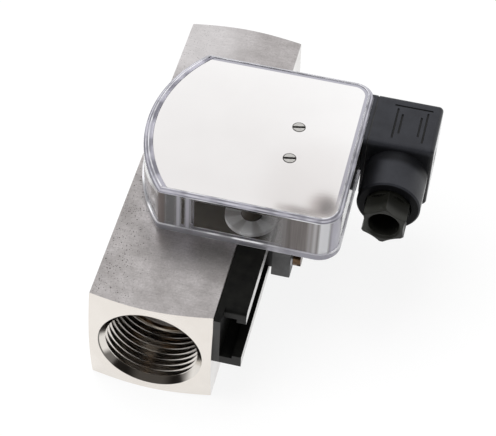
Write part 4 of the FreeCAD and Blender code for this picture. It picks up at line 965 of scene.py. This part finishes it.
# Painted highlights: bright lines, coming and going, along the top edge, the foot's step and the bottom
# edge.
glints = spread(clear, grain(clear, 11 * mm, detail=1, offset=5.2), 0.25, 1.0, 0.40, 0.60, True)
for low_z, high_z in glint_rows:
    line = times(clear, band(clear, height, low_z, high_z, 0.06 * mm), glints)
    tone = blend(clear, line, tone, edge_highlight)
    cloud_and_painted_light = greater(clear, cloud_and_painted_light, times(clear, line, 0.9))
feed(clear, blend(clear, spread(clear, cloud_and_painted_light, 0, 1, 0.0, 0.50), clear_tint, tone), "Base Color")
feed(clear, minus(clear, 1.0, cloud_and_painted_light), "Transmission Weight")
feed(clear, spread(clear, cloud_and_painted_light, 0.015, 0.12, 0.05, 0.5), "Roughness")
relief(clear, grain(clear, 9 * mm, detail=2, offset=3.0), 0.02 * mm, 0.3)


def eased_copy(node_name, name, width, finish, body="meter_body"):
    """A merged copy of a frame node with its edges rounded, standing for the node."""
    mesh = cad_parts[node_name].data.copy()
    shape = bmesh.new()
    shape.from_mesh(mesh)
    bmesh.ops.remove_doubles(shape, verts=shape.verts, dist=0.001 * mm)
    bmesh.ops.dissolve_limit(shape, angle_limit=math.radians(0.6), verts=shape.verts, edges=shape.edges)
    bmesh.ops.connect_verts_concave(shape, faces=shape.faces)
    shape.to_mesh(mesh)
    shape.free()
    if "custom_normal" in mesh.attributes:
        mesh.attributes.remove(mesh.attributes["custom_normal"])
    mesh.materials.clear()
    mesh.materials.append(finish)
    for face in mesh.polygons:
        face.material_index = 0
    piece = in_scene(name, mesh)
    eased(piece, width, 30, clamp=False)
    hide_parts(node_name)
    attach(piece, body)
    return piece


cover_shell = eased_copy("clear_cover", "cover_shell", 0.19 * mm, clear)
cover_shell.visible_shadow = False

# Front plate: bright rolled sheet let into the cover's top, held by two flush, nickel plated slotted
# screws. The cover laps over its right and rear edges, shown by a strip of the plate painted in the rim's
# grey, a painted reflection.
plate_bright = (0.960, 0.950, 0.948)
plate_dull = (0.930, 0.918, 0.916)
lap_reflection_grey = (0.47, 0.465, 0.52)
ring_dark = (0.05, 0.045, 0.04)
nickel_grey = (0.62, 0.61, 0.59)
nickel_low = (0.46, 0.45, 0.43)
nickel_high = (0.74, 0.73, 0.71)
slot_dark = (0.04, 0.035, 0.03)
plate_head_radius = 1.95 * mm
plate_head_height = 1.3 * mm
ring_inner = 2.10 * mm
ring_outer = 2.32 * mm
lap_width = 1.05 * mm
mirror = new_finish("silver_plate", plate_bright, 0.03, metallic=0.8)
plate_cloud = grain(mirror, 22 * mm, detail=3)
plate_fine = grain(mirror, 0.5 * mm, stretch=(10, 1, 1), detail=2, offset=8.0)
plate_low, plate_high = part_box("plate_screws")
plate_seat_z = plate_high[2] - plate_head_height
plate_seats = [((plate_low[0] + plate_high[0]) / 2, y, plate_seat_z) for y in (
    plate_low[1] + plate_head_radius, plate_high[1] - plate_head_radius)]
rings = [spread(mirror, from_upright(mirror, x, y), 1, 0, ring_inner, ring_outer, True)
         for x, y, _ in plate_seats]
# The strip along the plate's right and rear edges carries the rim's painted reflection.
lap_from = rim_width + lap_width
lap_share = spread(mirror, from_outline(mirror), 1, 0, lap_from, lap_from + edge_soft)
lap_sides = greater(mirror, slope(mirror, 1, 0, 1, 80 * mm, 90 * mm),
                    slope(mirror, 0, 0, 1, 44 * mm, 48 * mm))
lap_share = times(mirror, lap_share, lap_sides)
lap_share = times(mirror, lap_share, slope(mirror, 1, 0, 1, 38 * mm, 46 * mm))
plate_tone = blend(mirror, spread(mirror, plate_cloud, 0, 1), plate_dull, plate_bright)
plate_tone = blend(mirror, lap_share, plate_tone, lap_reflection_grey)
feed(mirror, blend(mirror, greater(mirror, rings[0], rings[1]), plate_tone, ring_dark), "Base Color")
feed(mirror, spread(mirror, plate_cloud, 0.025, 0.040), "Roughness")
relief(mirror, plate_fine, 0.003 * mm, 0.10)
dress(mirror, "front_plate")
nickel = new_finish("nickel_screws", nickel_grey, 0.24, metallic=1.0)
nickel_marks = grain(nickel, 0.25 * mm, stretch=(6, 1, 1), detail=3)
slot_shade = slope(nickel, 2, 1, 0, plate_high[2] - 0.35 * mm, plate_high[2] - 0.15 * mm)
nickel_tone = blend(nickel, spread(nickel, nickel_marks, 0, 1), nickel_low, nickel_high)
feed(nickel, blend(nickel, slot_shade, nickel_tone, slot_dark), "Base Color")
feed(nickel, spread(nickel, nickel_marks, 0.18, 0.32), "Roughness")
plate_screws = slotted_screws("plate_screw_pair", "plate_screws", plate_seats, (0, 0, 1), (11, 13), {
    "Head radius": plate_head_radius, "Head height": plate_head_height, "Slot width": 0.8 * mm,
    "Slot depth": 0.7 * mm, "Shank radius": 1.2 * mm, "Shank length": plate_seat_z - plate_low[2],
    "Thread pitch": 0.5 * mm, "Thread count": 11}, nickel, 0.12 * mm)

# Plug: socket flange on the cover's right wall, gasket, angled plug and cable gland in black
# moulded plastic. A centre screw holds the plug on its blades, and the nut turns on its collar.
charcoal_low = (0.0190, 0.0198, 0.0245)
charcoal_high = (0.0285, 0.0300, 0.0365)
nut_low = (0.0165, 0.0170, 0.0140)
nut_high = (0.0260, 0.0265, 0.0225)
plug_painted_dark = (0.004, 0.004, 0.004)
nut_painted_dark = (0.004, 0.004, 0.003)
rubber_low = (0.030, 0.030, 0.030)
rubber_high = (0.050, 0.050, 0.050)
moulded_specular = 0.26
groove_depth = 0.35 * mm
groove_shift = 1.6 * mm
frame_half = 8.4 * mm
neck_start = 12.5 * mm
neck_end = 16.5 * mm
charcoal = plastic_finish("plug_black", charcoal_low, charcoal_high, 0.42, specular=moulded_specular,
                          size=0.35 * mm, depth=0.02 * mm)
nut_black = plastic_finish("nut_black", nut_low, nut_high, 0.36, specular=moulded_specular)
rubber = plastic_finish("gasket_rubber", rubber_low, rubber_high, 0.60, specular=0.25)
house_low, house_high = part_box("plug_housing")
house_front = house_low[1]
house_side = house_high[0]
nut_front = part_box("gland_nut")[0][1]


def middle_of(node_name):
    low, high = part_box(node_name)
    return (Vector(low) + Vector(high)) / 2


def feed_of(finish, name):
    """The socket that an input of the shader is joined to."""
    return shader_of(finish).inputs[name].links[0].from_socket


def paint_shade(finish, share, dark):
    """Paint shade: blend the base colour towards a dark one."""
    feed(finish, blend(finish, share, feed_of(finish, "Base Color"), dark), "Base Color")


collar_x = middle_of("gland_nut")[0]
# Painted shade: the floors of the grooves in the frame on the plug's top are painted dark.
groove_floor_z = house_high[2] - groove_depth
in_groove = slope(charcoal, 2, 1, 0, groove_floor_z + 0.05 * mm, groove_floor_z + 0.30 * mm)
off_x = minus(charcoal, along(charcoal, 0), collar_x + groove_shift)
off_y = minus(charcoal, along(charcoal, 1), middle_of("plug_screw")[1])
off_most = greater(charcoal, combine(charcoal, off_x, 0, "ABSOLUTE"),
                   combine(charcoal, off_y, 0, "ABSOLUTE"))
in_frame = spread(charcoal, off_most, 1, 0, frame_half, frame_half + 0.2 * mm)
paint_shade(charcoal, times(charcoal, in_groove, in_frame), plug_painted_dark)
# Painted shade at the neck, on the left flank of the collar and on the collar's front end, where the plug
# also mirrors less.
neck = band(charcoal, along(charcoal, 1), house_front + neck_start, house_front + neck_end, 3.0 * mm)
neck = times(charcoal, neck, slope(charcoal, 2, 0.75, 0, 34 * mm, 36.4 * mm, True))
left_flank = times(charcoal, slope(charcoal, 0, 0.85, 0, collar_x - 8.5 * mm, collar_x - 2.0 * mm, True),
                   slope(charcoal, 1, 1, 0, house_front + 11 * mm, house_front + 16 * mm, True))
collar_end = times(charcoal, facing(charcoal, 1, 0.7, 0.9),
                   slope(charcoal, 1, 0.85, 0, house_front + 2.0 * mm, house_front + 3.0 * mm))
plug_shade = greater(charcoal, greater(charcoal, neck, left_flank), collar_end)
paint_shade(charcoal, plug_shade, plug_painted_dark)
feed(charcoal, pick(charcoal, plug_shade, moulded_specular, 0.04), "Specular IOR Level")
plug_polish = slope(charcoal, 0, 0, 1, house_side - 1.0 * mm, house_side - 0.6 * mm, True)
feed(charcoal, pick(charcoal, plug_polish, feed_of(charcoal, "Roughness"), 0.10), "Roughness")
# Painted shade on the nut, deepening towards the rear, where it also mirrors less.
nut_shade = slope(nut_black, 1, 0, 0.8, nut_front + 1.4 * mm, nut_front + 4.5 * mm, True)
paint_shade(nut_black, nut_shade, nut_painted_dark)
feed(nut_black, pick(nut_black, nut_shade, moulded_specular, 0.05), "Specular IOR Level")
eased_copy("socket_base", "socket_flange", 0.15 * mm, charcoal)
eased_copy("plug_housing", "plug_shell", 0.14 * mm, charcoal, body="plug")
eased_copy("gland_nut", "gland_cap", 0.20 * mm, nut_black, body="gland")
dress(tin, "contact_pins")
dress(rubber, "plug_gasket", "gland_seal")
dress(switch_black, "plug_insert")
dress(zinc, "gland_washer", "plug_screw")
